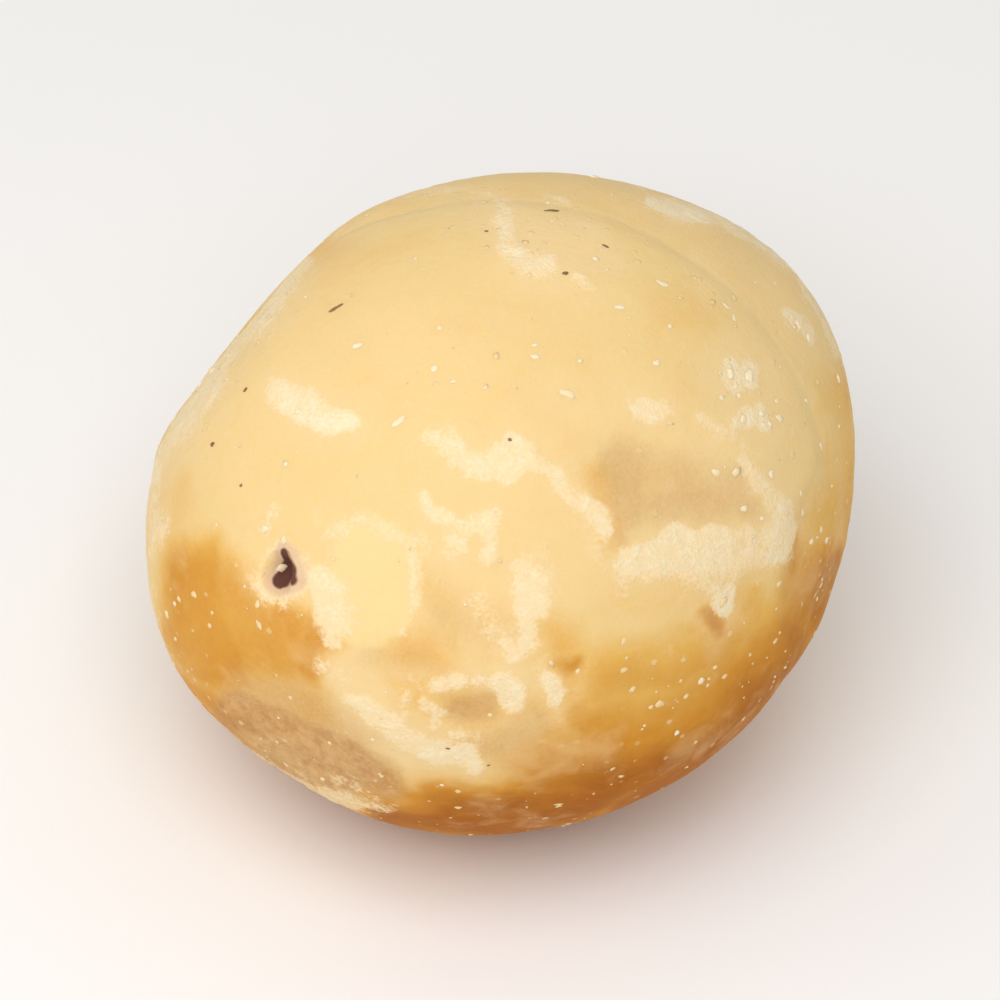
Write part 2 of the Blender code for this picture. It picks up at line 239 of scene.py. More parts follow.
# Where the skin is rubbed pale and chalky
RUBBED_STREAKS = (
    # the long band along the outline at the upper left, to its jagged end and down the left edge
    streak((-9.4, 1.0, 0.4), (-8.6, 2.0, 0.6), (-7.8, 3.0, 0.6), strength=0.95, soft=0.4),
    streak((-7.8, 3.0, 0.6), (-7.1, 4.1, 0.45), (-6.3, 5.0, 0.5), strength=0.88, soft=0.45),
    streak((-6.3, 5.0, 0.5), (-5.7, 5.8, 0.4), (-5.2, 6.3, 0.2), soft=0.25),
    streak((-9.3, 1.2, 0.3), (-9.15, 0.5, 0.2), soft=0.12),
    streak((-9.15, 0.1, 0.2), (-9.0, -0.7, 0.32), (-9.1, -1.3, 0.25), strength=0.75, soft=0.25),
    streak((-9.3, -2.3, 0.12), (-9.0, -3.6, 0.1), (-8.5, -4.5, 0.1), strength=0.6),
    streak((-4.6, 7.1, 0.12), (-4.3, 7.2, 0.05), strength=0.9),
    # the lozenge in the middle left
    streak((-5.6, 2.6, 0.3), (-5.0, 2.45, 0.38), strength=1.1, soft=0.22, fade=0.4, fade_turn=130),
    streak((-5.1, 2.25, 0.22), (-4.4, 2.05, 0.32), (-3.9, 2.0, 0.22), strength=1.35, soft=0.1),
    # the wedge in the middle, and the arm that runs from it round the hollow
    streak((-1.65, 1.5, 0.15), (-1.3, 1.35, 0.3), (-1.0, 1.05, 0.28), fade=0.5, fade_turn=135),
    streak((-1.2, 0.95, 0.18), (-0.3, 0.85, 0.28), (0.2, 0.9, 0.45), fade=0.4, fade_turn=90),
    streak((0.2, 0.8, 0.4), (0.5, 1.2, 0.38), (0.3, 1.65, 0.15), strength=1.1, soft=0.12),
    streak((0.6, 1.0, 0.3), (1.1, 0.85, 0.12), (1.45, 0.6, 0.22), strength=0.85, soft=0.14),
    streak((1.45, 0.6, 0.2), (1.65, 0.25, 0.16), (2.1, 0.0, 0.15), strength=0.95, soft=0.12),
    streak((2.1, 0.0, 0.15), (2.5, -0.4, 0.22), (2.65, -0.85, 0.14), strength=1.05, soft=0.1),
    streak((2.45, -0.6, 0.25), (2.5, -1.2, 0.2), strength=0.6, soft=0.25, fade=0.5, fade_turn=-120),
    # flecks over the hollow
    streak((3.55, 2.5, 0.15), (4.0, 2.25, 0.26), soft=0.14),
    streak((4.2, 2.45, 0.12), (4.4, 2.3, 0.1), strength=0.7),
    streak((5.2, 2.2, 0.12), (5.7, 1.8, 0.2), (6.0, 1.6, 0.12), strength=0.8, soft=0.2),
    streak((5.95, 3.5, 0.14), (6.0, 3.2, 0.2), (6.1, 2.9, 0.12), strength=1.25, soft=0.1),
    streak((6.5, 3.35, 0.22), (6.45, 3.1, 0.22), strength=1.25, soft=0.1),
    streak((6.1, 2.0, 0.16), (6.4, 2.1, 0.22), strength=1.15, soft=0.1),
    streak((6.75, 2.3, 0.14), (6.85, 1.95, 0.16), strength=1.1, soft=0.1),
    streak((6.3, 1.35, 0.2), (6.6, 1.2, 0.15), strength=0.6, soft=0.2),
    # the crust under the hollow: scalloped over, fading under, and rising at its right end
    streak((3.25, -1.5, 0.25), (3.8, -1.45, 0.3), (4.3, -1.25, 0.35), soft=0.1, fade=0.6),
    streak((4.25, -1.1, 0.2), (4.5, -0.85, 0.2), (4.7, -1.0, 0.3), strength=1.15, soft=0.08),
    streak((4.6, -1.3, 0.4), (5.2, -1.2, 0.42), (5.7, -1.25, 0.4), soft=0.1, fade=0.7),
    streak((5.15, -0.95, 0.18), (5.45, -0.8, 0.14), (5.8, -0.95, 0.2), strength=1.1, soft=0.08),
    streak((5.7, -1.25, 0.35), (6.5, -1.1, 0.4), (7.1, -1.1, 0.35), strength=0.88, soft=0.14, fade=0.6),
    streak((7.2, -1.3, 0.32), (7.35, -0.7, 0.3), (7.3, -0.2, 0.26), soft=0.12),
    streak((7.2, 0.0, 0.24), (6.85, 0.3, 0.2), (6.5, 0.7, 0.16), (6.3, 1.0, 0.12), strength=0.85),
    streak((3.1, -1.9, 0.25), (3.2, -2.5, 0.2), strength=0.55, soft=0.3),
    streak((5.0, -1.9, 0.2), (5.4, -2.15, 0.15), (5.7, -2.35, 0.12), strength=0.75, soft=0.2),
    streak((5.9, -2.3, 0.12), (5.75, -2.8, 0.17), strength=1.2, soft=0.1),
    # the chalky rim of the clear window, and the chalk left of it
    streak((-4.45, -0.8, 0.18), (-3.6, -0.5, 0.22), (-2.9, -0.7, 0.18), strength=0.7, soft=0.2),
    streak((-3.6, -0.3, 0.08), (-3.5, 0.0, 0.08), strength=0.6),
    streak((-2.9, -0.75, 0.16), (-2.35, -1.0, 0.16), (-2.2, -1.7, 0.1), strength=0.85, soft=0.14),
    streak((-2.2, -1.7, 0.1), (-2.2, -2.9, 0.1), (-2.6, -3.4, 0.08), strength=0.75, soft=0.12),
    streak((-4.95, -1.9, 0.2), (-4.5, -2.3, 0.36), (-4.35, -3.1, 0.34), fade=0.4, fade_turn=0),
    streak((-4.35, -3.1, 0.3), (-4.3, -3.6, 0.22), strength=0.85),
    # the broken net between the wedge and the window
    streak((-1.9, 0.15, 0.12), (-1.8, -0.25, 0.2), (-1.5, -0.55, 0.16), strength=0.95, soft=0.12),
    streak((-1.5, -0.55, 0.16), (-0.8, -0.75, 0.16), (-0.35, -0.45, 0.22), strength=0.85),
    streak((-0.35, -0.45, 0.2), (-0.15, -0.3, 0.15), strength=0.95),
    streak((-0.3, -0.6, 0.2), (-0.25, -1.2, 0.16), (-0.3, -1.5, 0.1), strength=0.9, soft=0.14),
    streak((-1.25, -1.05, 0.15), (-0.95, -1.15, 0.16), soft=0.1),
    streak((-1.55, -1.35, 0.08), (-1.2, -1.6, 0.1), strength=0.75, soft=0.14),
    streak((-2.1, -0.9, 0.2), (-1.9, -1.4, 0.15), strength=0.6, soft=0.2),
    # the upright patch in the middle: sharp on its left, fading on its right, with a tail
    streak((0.4, -1.75, 0.18), (0.6, -2.2, 0.38), (0.7, -2.65, 0.35), fade=0.7, fade_turn=20),
    streak((0.7, -2.65, 0.3), (0.7, -3.3, 0.18), (0.7, -3.7, 0.2), strength=0.95, soft=0.14),
    streak((0.15, -3.7, 0.16), (0.35, -3.95, 0.22), (0.7, -3.7, 0.16), strength=0.9, soft=0.14),
    streak((-0.4, -2.9, 0.15), (-0.2, -3.2, 0.1), strength=0.45, soft=0.2),
    # round the small hollow low down: a slanting band, two arcs, and bright spots
    streak((-3.95, -5.15, 0.12), (-3.4, -5.4, 0.28), (-2.9, -5.75, 0.32), soft=0.16),
    streak((-2.9, -5.75, 0.28), (-2.4, -6.2, 0.26), (-1.9, -6.5, 0.26), strength=0.9, soft=0.18),
    streak((-1.9, -6.5, 0.26), (-1.4, -6.65, 0.24), (-0.8, -6.6, 0.2), (-0.65, -6.95, 0.16)),
    streak((-1.55, -4.75, 0.18), (-1.15, -4.65, 0.18), strength=0.95, soft=0.12),
    streak((-1.15, -4.65, 0.14), (-0.5, -4.6, 0.12), (0.0, -4.6, 0.2), strength=0.75, soft=0.16),
    streak((0.05, -4.7, 0.3), (0.25, -5.0, 0.34), (0.2, -5.25, 0.2), strength=1.15, soft=0.1),
    streak((0.35, -5.2, 0.1), (0.55, -5.45, 0.07), strength=0.9, soft=0.08),
    streak((-1.95, -5.25, 0.12), (-1.6, -5.5, 0.14), (-1.75, -5.8, 0.1), strength=0.85, soft=0.14),
    streak((-1.3, -6.1, 0.12), (-0.5, -6.15, 0.08), strength=0.7, soft=0.14),
    streak((1.15, -4.6, 0.12), (1.4, -4.8, 0.2), (1.42, -5.25, 0.12), strength=1.1, soft=0.09),
    streak((-2.4, -4.6, 0.1), (-1.8, -5.0, 0.12), strength=0.5, soft=0.2),
    streak((-4.6, -4.3, 0.2), (-3.9, -4.7, 0.2), strength=0.6, soft=0.25),
    streak((-2.4, -5.0, 0.15), (-2.5, -5.5, 0.2), strength=0.7, soft=0.2),
    streak((-0.6, -2.6, 0.3), (-0.1, -3.4, 0.25), strength=0.6, soft=0.3),
    # the sill under the scuff at the lower left
    streak((-7.2, -6.2, 0.06), (-6.3, -7.0, 0.1), (-5.4, -7.5, 0.14), strength=0.85, soft=0.12),
    streak((-5.4, -7.5, 0.14), (-4.6, -7.8, 0.18), (-3.6, -8.0, 0.18), (-2.9, -8.1, 0.1), strength=0.75),
    streak((-4.3, -7.3, 0.1), (-3.8, -7.55, 0.18), strength=0.65, soft=0.16),
    # the halo of the pit
    streak((-6.35, -2.05, 0.16), (-6.1, -2.35, 0.2), (-5.5, -2.45, 0.22), strength=0.8, soft=0.22),
    streak((-5.5, -2.45, 0.22), (-5.1, -2.1, 0.24), (-5.1, -1.5, 0.15), strength=0.85, soft=0.22),
    streak((-5.5, -1.1, 0.1), (-5.95, -1.3, 0.1), (-6.2, -1.7, 0.12), (-6.35, -2.05, 0.1), strength=0.7),
    streak((-5.8, -0.2, 0.12), (-6.1, -0.75, 0.12), strength=0.7),
    # stippled places at the top, in a slanting row
    streak((0.05, 7.7, 0.2), (0.1, 7.3, 0.24), (0.2, 6.85, 0.22), soft=0.25),
    streak((0.1, 6.5, 0.15), (0.75, 6.2, 0.28), (1.25, 6.1, 0.22), strength=1.1, soft=0.2),
    streak((1.9, 5.85, 0.1), (2.25, 5.5, 0.1), strength=0.9, soft=0.12),
    streak((1.2, 7.9, 0.06), (1.7, 7.8, 0.06), strength=0.7, soft=0.1),
    # the pale edge of the near half at the top, and of the far half round the upper right, with painted
    # highlights down the right outline
    streak((-3.0, 8.0, 0.1), (-2.0, 8.2, 0.1), (-1.0, 8.2, 0.1), (-0.2, 8.0, 0.06), strength=0.7),
    streak((3.1, 8.55, 0.1), (3.8, 8.25, 0.08), strength=0.85, soft=0.1),
    streak((4.0, 7.75, 0.12), (4.9, 7.55, 0.22), (5.5, 7.4, 0.14), strength=1.2),
    streak((5.5, 7.5, 0.12), (6.5, 7.1, 0.14), (7.2, 6.6, 0.18), (7.7, 6.1, 0.1), strength=1.05),
    streak((7.9, 5.85, 0.12), (8.5, 4.8, 0.08), (8.9, 3.9, 0.08), strength=0.85),
    streak((7.5, 4.9, 0.08), (7.8, 4.6, 0.18), (8.1, 4.2, 0.1), strength=1.05, soft=0.1),
    # painted highlights down the right outline, drawn as pale rubbed skin
    streak((9.35, 2.4, 0.1), (9.4, 1.2, 0.1), (9.3, 0.2, 0.08), strength=0.40, soft=0.1),
    # past the top, on the upper back
    streak((-3.4, 11.0, 0.2), (-2.2, 11.8, 0.45), (-0.8, 11.5, 0.3), strength=0.9, fade=0.5, fade_turn=90),
    streak((-0.8, 11.5, 0.25), (-0.4, 10.8, 0.2), (0.3, 10.5, 0.15), strength=0.85),
    streak((0.7, 12.9, 0.2), (1.7, 12.4, 0.4), (2.3, 11.5, 0.2), soft=0.12),
    streak((3.4, 10.4, 0.2), (4.2, 11.2, 0.4), (5.3, 11.4, 0.2), strength=0.85, soft=0.2),
    streak((-5.6, 10.2, 0.15), (-5.0, 11.0, 0.3), (-5.2, 12.0, 0.15), strength=0.8, soft=0.2),
    # far face: a scraped field with a net of ridges round its hollow
    far((1.0, 6.4, 0.2), (2.1, 6.7, 0.3), (3.2, 7.0, 0.25), strength=0.95, fade=0.6, fade_turn=90),
    far((0.7, 4.4, 0.2), (1.8, 4.1, 0.35), (3.0, 4.5, 0.3), (4.1, 5.2, 0.2), fade=0.7),
    far((4.2, 5.3, 0.2), (4.9, 4.4, 0.3), (5.0, 3.4, 0.2), strength=0.9, fade=0.5, fade_turn=0),
    # and two scalloped crusts on the flats, with a broken net between
    far((-6.6, 2.3, 0.2), (-5.9, 3.0, 0.35), (-4.9, 3.1, 0.3), soft=0.12),
    far((-4.9, 3.1, 0.25), (-4.0, 2.7, 0.4), (-3.2, 2.0, 0.25), fade=0.6, fade_turn=60),
    far((-3.3, 1.9, 0.2), (-2.8, 1.1, 0.3), (-2.9, 0.3, 0.15), strength=0.95, soft=0.14),
    far((-5.6, -0.9, 0.15), (-4.8, -1.2, 0.25), (-4.0, -0.9, 0.15), strength=0.8, soft=0.2),
    far((-0.9, 1.6, 0.15), (-0.3, 1.1, 0.2), (0.1, 0.3, 0.16), strength=0.85, soft=0.14),
    far((0.1, 0.3, 0.16), (0.8, 0.1, 0.2), (1.2, 0.6, 0.12), strength=0.95, soft=0.14),
    far((-0.4, -0.6, 0.14), (0.3, -1.1, 0.24), (0.9, -1.1, 0.14), strength=0.7, soft=0.2),
    far((1.6, -3.2, 0.2), (2.5, -3.0, 0.35), (3.6, -3.2, 0.3), fade=0.5, fade_turn=90),
    far((3.6, -3.2, 0.28), (4.7, -3.8, 0.3), (5.0, -4.7, 0.2), strength=0.95, soft=0.14),
    far((1.5, -3.4, 0.2), (1.2, -4.4, 0.28), (1.6, -5.4, 0.2), strength=0.85, soft=0.18),
    far((2.2, -6.4, 0.15), (3.3, -6.7, 0.25), (4.4, -6.2, 0.15), strength=0.8, soft=0.2),
    far((-6.6, -2.2, 0.15), (-5.8, -1.9, 0.3), (-4.9, -2.3, 0.2), soft=0.12),
    far((-4.6, -2.7, 0.2), (-4.2, -3.7, 0.3), (-4.6, -4.6, 0.2), fade=0.5, fade_turn=0),
    far((-2.6, -4.6, 0.1), (-2.1, -4.9, 0.2), (-1.5, -4.8, 0.1), strength=0.8, soft=0.16),
    far((6.3, 0.8, 0.2), (6.6, -0.3, 0.3), (6.3, -1.3, 0.2), strength=0.8, soft=0.2),
    far((-1.8, 6.3, 0.15), (-2.5, 5.6, 0.25), (-2.6, 4.8, 0.12), strength=0.75, soft=0.2),
)

# Faint pale haze on the skin, beside what lies round the rubbed places
HAZE_STREAKS = (
    streak((-0.3, 7.6, 0.6), (0.7, 6.8, 0.8), (2.1, 6.6, 0.8), (2.9, 6.2, 0.4), strength=0.80, soft=0.4),
    streak((0.8, 5.9, 0.6), (2.1, 5.6, 0.4), strength=0.65, soft=0.4),
    streak((-1.9, 1.7, 0.3), (-1.0, 1.75, 0.35), (0.4, 1.9, 0.2), strength=0.45, soft=0.35),
    streak((-1.8, -0.6, 0.8), (-0.8, -2.2, 0.9), (-0.2, -3.4, 0.7), strength=0.62, soft=0.6),
    streak((-4.2, -4.2, 0.6), (-3.4, -5.4, 0.8), (-1.8, -6.4, 0.9), strength=0.80, soft=0.6),
    streak((1.4, 2.6, 0.6), (2.4, 2.2, 0.5), (3.8, 2.0, 0.4), strength=0.50, soft=0.6),
    streak((5.2, 1.2, 0.5), (6.4, 0.2, 0.5), strength=0.50, soft=0.5),
    streak((2.9, 1.6, 0.5), (4.8, 1.5, 0.7), (6.6, 1.4, 0.5), strength=0.42, soft=0.8),
    streak((-1.5, 3.4, 1.2), (-3.2, 4.6, 1.0), strength=0.28, soft=0.9),
    streak((-4.8, -0.4, 0.6), (-3.0, 0.6, 0.6), strength=0.30, soft=0.7),
    streak((-2.6, -4.4, 0.4), (-0.6, -4.4, 0.6), (0.9, -4.9, 0.4), strength=0.50, soft=0.5),
    streak((-6.9, 1.4, 0.5), (-6.5, 0.2, 0.5), strength=0.22, soft=0.6),
    streak((-4.6, 2.9, 0.7), (-3.4, 2.4, 0.5), strength=0.30, soft=0.5),
    streak((-4.3, -0.8, 0.5), (-3.2, -1.0, 0.5), (-2.4, -1.3, 0.3), strength=0.5, soft=0.3),
    streak((-5.0, -1.4, 0.3), (-4.4, -1.3, 0.4), strength=0.4, soft=0.4),
    streak((4.0, -2.2, 0.4), (5.6, -2.0, 0.4), (6.8, -1.8, 0.3), strength=0.45, soft=0.5),
    streak((-2.2, 4.8, 0.3), (-1.4, 3.6, 0.4), (-2.6, 3.3, 0.3), strength=0.25, soft=0.5),
    streak((-2.4, -7.1, 0.3), (-0.6, -7.2, 0.35), (1.3, -6.6, 0.5), strength=0.55, soft=0.3),
    streak((-2.2, -6.4, 0.6), (0.2, -5.9, 0.9), strength=0.4, soft=0.5),
    streak((0.5, -6.0, 0.6), (0.8, -6.8, 0.55), strength=0.6, soft=0.12),
    streak((-6.6, -5.2, 0.3), (-5.6, -5.2, 0.4), strength=0.3, soft=0.4),
    streak((-8.3, -0.4, 0.3), (-8.5, -1.6, 0.3), strength=0.35, soft=0.4),
    streak((5.6, 6.5, 0.8), (7.0, 5.4, 0.7), (7.9, 3.8, 0.4), strength=0.4, soft=0.5),
    streak((1.6, 8.3, 0.4), (3.0, 8.0, 0.4), strength=0.35, soft=0.4),
    streak((7.0, 3.0, 0.5), (7.2, 1.6, 0.5), strength=0.3, soft=0.5),
    streak((1.9, 2.8, 0.2), (1.6, 2.9, 0.15), (2.5, 1.8, 0.15), strength=0.5, soft=0.25),
    streak((3.6, 2.4, 0.35), (4.4, 2.4, 0.3), strength=0.5, soft=0.25),
    streak((-2.2, 11.6, 1.2), (1.6, 12.2, 1.4), (4.4, 11.0, 0.9), strength=0.45, soft=0.9),
    far((2.4, 5.4, 1.6), (3.4, 6.0, 1.0), strength=0.5, soft=0.6),
    far((-4.9, 1.2, 1.4), (-3.9, 2.2, 0.8), strength=0.5, soft=0.6),
    far((2.9, -4.6, 1.2), (3.6, -5.4, 0.8), strength=0.5, soft=0.6),
    far((0.2, 0.6, 0.8), (-0.2, -0.8, 0.6), strength=0.4, soft=0.5),
)

# Where the skin is worn matt and tan, with painted shade at the hollow's lower left edge
WORN_STREAKS = (
    streak((3.2, 0.9, 0.65), (3.3, -0.3, 0.52), strength=0.46, soft=0.3),
    streak((3.2, 0.6, 0.7), (4.6, 0.35, 0.9), (5.6, 0.3, 0.7), strength=0.38, soft=0.4),
    streak((4.2, -0.2, 0.5), (5.6, -0.1, 0.5), strength=0.46, soft=0.3),
    # painted shade at the hollow's lower left edge
    streak((3.05, -0.8, 0.2), (3.15, -1.1, 0.14), strength=0.46, soft=0.2),
    streak((6.0, 0.3, 0.5), (6.4, -0.2, 0.3), strength=0.45, soft=0.3),
    streak(
        (-6.9, -5.6, 0.4), (-6.0, -6.2, 0.65), (-5.0, -6.7, 0.7), (-4.0, -7.0, 0.6),
        strength=1.1, soft=0.3,
    ),
    streak((-3.6, -7.0, 0.45), (-2.9, -7.4, 0.3), strength=0.8, soft=0.25),
    streak((-1.1, -5.45, 0.26), (-0.4, -5.4, 0.28), strength=0.55, soft=0.2),
    streak((-6.6, -4.9, 0.4), (-5.2, -5.4, 0.6), (-3.8, -6.2, 0.6), strength=0.50, soft=0.5),
    streak((-3.4, -4.1, 0.4), (-1.9, -4.3, 0.3), strength=0.34, soft=0.4),
    streak((-1.0, -6.4, 0.25), (0.0, -6.3, 0.4), (0.8, -5.9, 0.4), strength=0.5, soft=0.35),
    streak((-1.5, -3.0, 0.5), (-0.4, -3.4, 0.5), strength=0.35, soft=0.5),
    streak((-1.8, 13.0, 0.6), (-0.4, 13.4, 0.7), strength=0.5, soft=0.4),
    far((1.4, 5.0, 0.8), (2.7, 5.5, 1.0), (4.0, 6.1, 0.6), strength=0.9, soft=0.3),
    far((-5.6, 1.4, 1.0), (-4.4, 1.0, 1.2), strength=0.75, soft=0.4),
    far((-5.9, -3.0, 0.7), (-5.2, -4.2, 0.7), strength=0.95, soft=0.25),
    far((2.5, -4.6, 0.9), (3.6, -5.0, 0.8), strength=0.85, soft=0.3),
)

# Where the skin is gold, amber and brown: roast, and painted shade low down and round the lower right
ROAST_AND_SHADE_STREAKS = (
    # low on the left: roast, partly painted shade
    streak((-8.0, -1.9, 0.7), (-7.9, -3.2, 0.9), (-7.4, -4.2, 0.9), strength=0.56, soft=0.45),
    streak((-7.3, -2.4, 0.7), (-6.6, -3.6, 1.0), (-5.9, -4.0, 0.9), strength=0.50, soft=0.4),
    streak((-5.7, -3.3, 0.5), (-5.4, -3.5, 0.5), strength=0.53, soft=0.25),
    streak((-8.5, 0.2, 0.3), (-8.3, -0.7, 0.35), strength=0.20, soft=0.5),
    streak((-8.6, -4.6, 0.6), (-7.2, -6.4, 0.5), strength=0.6, soft=0.5),
    # round the lower right, browner towards the edge: mostly painted shade
    streak((2.6, -5.0, 0.7), (4.6, -4.7, 0.7), (6.6, -3.4, 0.6), strength=0.48, soft=0.9),
    streak((2.6, -6.2, 0.6), (4.6, -5.9, 0.7), (6.4, -4.8, 0.7), (7.8, -3.0, 0.5), strength=0.66, soft=0.9),
    streak((8.5, -0.4, 0.4), (8.3, -1.8, 0.5), strength=0.26, soft=0.6),
    # painted shade along the right outline
    streak((9.5, 3.3, 0.3), (9.7, 1.6, 0.4), (9.7, 0.2, 0.4), (9.5, -1.5, 0.3), strength=0.46, soft=0.8),
    streak((7.75, -1.1, 0.14), (7.8, -1.9, 0.16), strength=0.5, soft=0.25),
    streak((6.4, -2.3, 0.3), (6.7, -3.2, 0.5), strength=0.40, soft=0.5),
    # painted shadow under the crumb above it
    streak((5.65, -3.15, 0.18), (5.75, -3.4, 0.12), strength=0.74, soft=0.2),
    streak((1.55, -4.3, 0.14), (1.7, -4.2, 0.1), strength=0.62, soft=0.16),
    streak((0.0, -6.3, 0.5), (1.0, -6.2, 0.5), strength=0.24, soft=0.7),
    streak((-1.8, -2.4, 0.4), (-0.2, -3.3, 0.4), strength=0.16, soft=0.6),
    streak((3.4, -2.9, 0.5), (5.2, -2.7, 0.5), strength=0.14, soft=0.7),
    # along the bottom, under a plain edge: painted shade
    streak((-2.9, -8.2, 0.4), (-1.0, -8.2, 0.75), (1.2, -8.3, 0.7), strength=0.92, soft=0.5),
    streak(
        (1.2, -8.4, 0.6), (2.8, -7.8, 0.6), (4.4, -7.1, 0.5),
        strength=0.95, soft=0.5, fade=1.8, fade_turn=110,
    ),
    streak(
        (4.4, -7.1, 0.5), (6.3, -5.8, 0.4), (7.9, -4.0, 0.4),
        strength=0.9, soft=0.5, fade=1.6, fade_turn=140,
    ),
    streak((7.9, -4.0, 0.4), (8.9, -1.8, 0.3), strength=0.66, soft=0.4, fade=1.4, fade_turn=170),
    streak((1.2, -8.1, 0.14), (1.4, -8.2, 0.1), soft=0.12),
    streak((3.4, -8.3, 0.7), (5.7, -7.1, 0.8), (7.6, -5.3, 0.8), strength=0.92, soft=0.5),
    streak((7.6, -5.3, 0.8), (8.9, -3.6, 0.7), strength=0.80, soft=0.5),
    streak((1.6, -9.7, 0.8), (5.4, -8.5, 0.8), (7.8, -6.4, 0.8), strength=0.85, soft=1.2),
    streak((7.8, -6.4, 0.8), (9.8, -3.5, 0.6), strength=0.70, soft=1.2),
    # golden places higher up
    streak((4.5, 5.1, 0.3), (5.1, 4.8, 0.2), strength=0.12, soft=0.5),
    streak((-3.6, 6.6, 0.5), (-2.4, 7.2, 0.5), strength=0.08, soft=0.7),
    streak((-5.1, 6.3, 0.2), (-4.6, 6.5, 0.3), strength=0.25, soft=0.4),
    streak((1.4, -3.4, 0.3), (1.7, -4.6, 0.4), (1.9, -5.6, 0.3), strength=0.34, soft=0.5),
    streak((-2.6, -3.9, 0.3), (-1.6, -4.1, 0.3), strength=0.30, soft=0.4),
    streak((-2.4, -5.1, 0.5), (-0.8, -5.3, 0.6), (1.0, -5.7, 0.5), strength=0.27, soft=0.5),
    streak((-4.8, -3.7, 0.45), (-5.1, -4.4, 0.4), strength=0.56, soft=0.3),
    streak((2.1, -5.7, 0.35), (2.2, -7.0, 0.4), strength=0.46, soft=0.25),
    streak((-6.4, -5.0, 0.5), (-5.0, -5.5, 0.5), strength=0.24, soft=0.5),
    # painted shade along the hollow's left edge
    streak((2.6, 0.9, 0.12), (2.75, -0.2, 0.14), (2.9, -1.2, 0.12), strength=0.26, soft=0.14),
    streak((5.4, 12.6, 0.8), (6.6, 13.4, 0.8), strength=0.40, soft=1.0),
    streak((-3.6, 12.8, 0.4), (-2.8, 13.6, 0.5), strength=0.30, soft=0.9),
    far((4.8, -1.6, 1.0), (6.6, -2.6, 1.0), strength=0.50, soft=1.2),
    far((-1.6, -2.2, 0.8), (-0.2, -3.4, 0.9), strength=0.45, soft=1.2),
    far((-7.4, 1.0, 0.8), (-7.0, -1.6, 0.8), strength=0.52, soft=1.0),
    far((6.2, 3.8, 0.7), (7.4, 2.2, 0.7), strength=0.40, soft=0.9),
    far((-0.8, 3.4, 0.6), (0.6, 2.6, 0.6), strength=0.28, soft=1.0),
)

# Where the flesh is smooth, clear and butter yellow
CLEAR_STREAKS = (
    streak((-3.3, -1.5, 0.95), (-3.2, -2.5, 0.98), (-3.5, -3.0, 0.7), soft=0.14),
    streak((-3.2, 7.1, 0.5), (-1.6, 7.6, 0.5), strength=0.5, soft=0.6),
    streak((1.1, -1.0, 0.6), (1.8, -1.8, 0.5), strength=0.35, soft=0.5),
    streak((3.0, 3.4, 0.5), (3.2, 2.6, 0.5), strength=0.4, soft=0.5),
    streak((3.4, -3.0, 0.5), (5.0, -2.8, 0.4), strength=0.35, soft=0.5),
    streak((8.1, 0.9, 0.3), (8.2, 0.2, 0.3), strength=0.35, soft=0.4),
    far((-1.6, 3.0, 0.9), (-1.2, 4.2, 0.8), strength=0.5, soft=0.5),
    far((3.6, 1.2, 1.0), (4.4, 0.2, 0.7), strength=0.55, soft=0.4),
    far((-2.4, -3.4, 0.7), (-1.9, -2.6, 0.6), strength=0.45, soft=0.5),
)

# The dark pit, wider low down: burnt, and partly painted shade in the hole
BURNT_AND_SHADE_STREAKS = (
    streak((-5.50, -1.38, 0.07), (-5.45, -1.70, 0.21), (-5.50, -1.96, 0.25), soft=0.07),
    streak((-5.50, -1.96, 0.23), (-5.70, -2.08, 0.17), soft=0.07),
)

# Where most of the dust lies
DUST_STREAKS = (
    streak((6.2, 3.2, 0.9), (6.9, 1.9, 1.0), (7.4, 0.6, 0.6), strength=0.8, soft=0.8),
    streak((2.6, 7.4, 0.7), (4.8, 6.2, 0.8), (7.4, 4.2, 0.8), strength=0.55, soft=0.8),
    streak((8.6, 2.6, 0.5), (8.6, -1.6, 0.7), (6.9, -4.2, 0.8), strength=0.75, soft=0.8),
    streak((6.9, -4.2, 0.8), (4.2, -5.3, 0.8), strength=0.75, soft=0.8),
    streak((-8.2, -1.6, 0.5), (-7.9, -3.6, 0.6), (-7.2, -5.2, 0.5), strength=0.55, soft=0.6),
    streak((-7.8, 2.9, 0.7), (-6.1, 4.9, 0.6), (-4.9, 6.4, 0.3), strength=0.8, soft=0.5),
    streak((-6.4, -6.4, 0.5), (-4.6, -7.2, 0.6), (-2.8, -7.6, 0.4), strength=0.8, soft=0.5),
    streak((-0.4, 7.4, 0.7), (1.4, 6.4, 0.9), (2.8, 6.1, 0.4), strength=0.9, soft=0.5),
    streak((-2.8, 3.6, 0.6), (-1.2, 3.6, 0.8), (0.8, 3.8, 0.5), strength=0.5, soft=0.7),
    streak((-2.2, -8.2, 0.4), (1.2, -8.3, 0.4), (3.8, -7.2, 0.6), strength=0.6, soft=0.5),
    streak((-6.7, -1.2, 0.4), (-6.2, -3.0, 0.4), strength=0.4, soft=0.5),
    streak((-3.6, 11.2, 1.2), (3.4, 12.0, 1.4), strength=0.7, soft=1.0),
    far((-6.0, 2.0, 1.0), (-3.0, 2.4, 1.4), (2.4, 5.4, 1.8), strength=0.7, soft=1.4),
    far((6.0, 1.0, 1.0), (4.0, -4.0, 1.6), strength=0.65, soft=1.2),
    far((-5.4, -3.6, 1.2), (0.0, -6.4, 1.4), strength=0.55, soft=1.2),
)

STREAKS = {
    Mark.RUBBED: RUBBED_STREAKS,
    Mark.HAZE: HAZE_STREAKS,
    Mark.WORN: WORN_STREAKS,
    Mark.ROAST_AND_SHADE: ROAST_AND_SHADE_STREAKS,
    Mark.CLEAR: CLEAR_STREAKS,
    Mark.BURNT_AND_SHADE: BURNT_AND_SHADE_STREAKS,
    Mark.DUST: DUST_STREAKS,
}


@dataclass(frozen=True)
class Fleck:
    """One bit stuck to the seen face: its place, its half sizes and its turn in degrees."""

    across: float
    up: float
    half_length: float
    half_width: float
    turn: float = 0.0


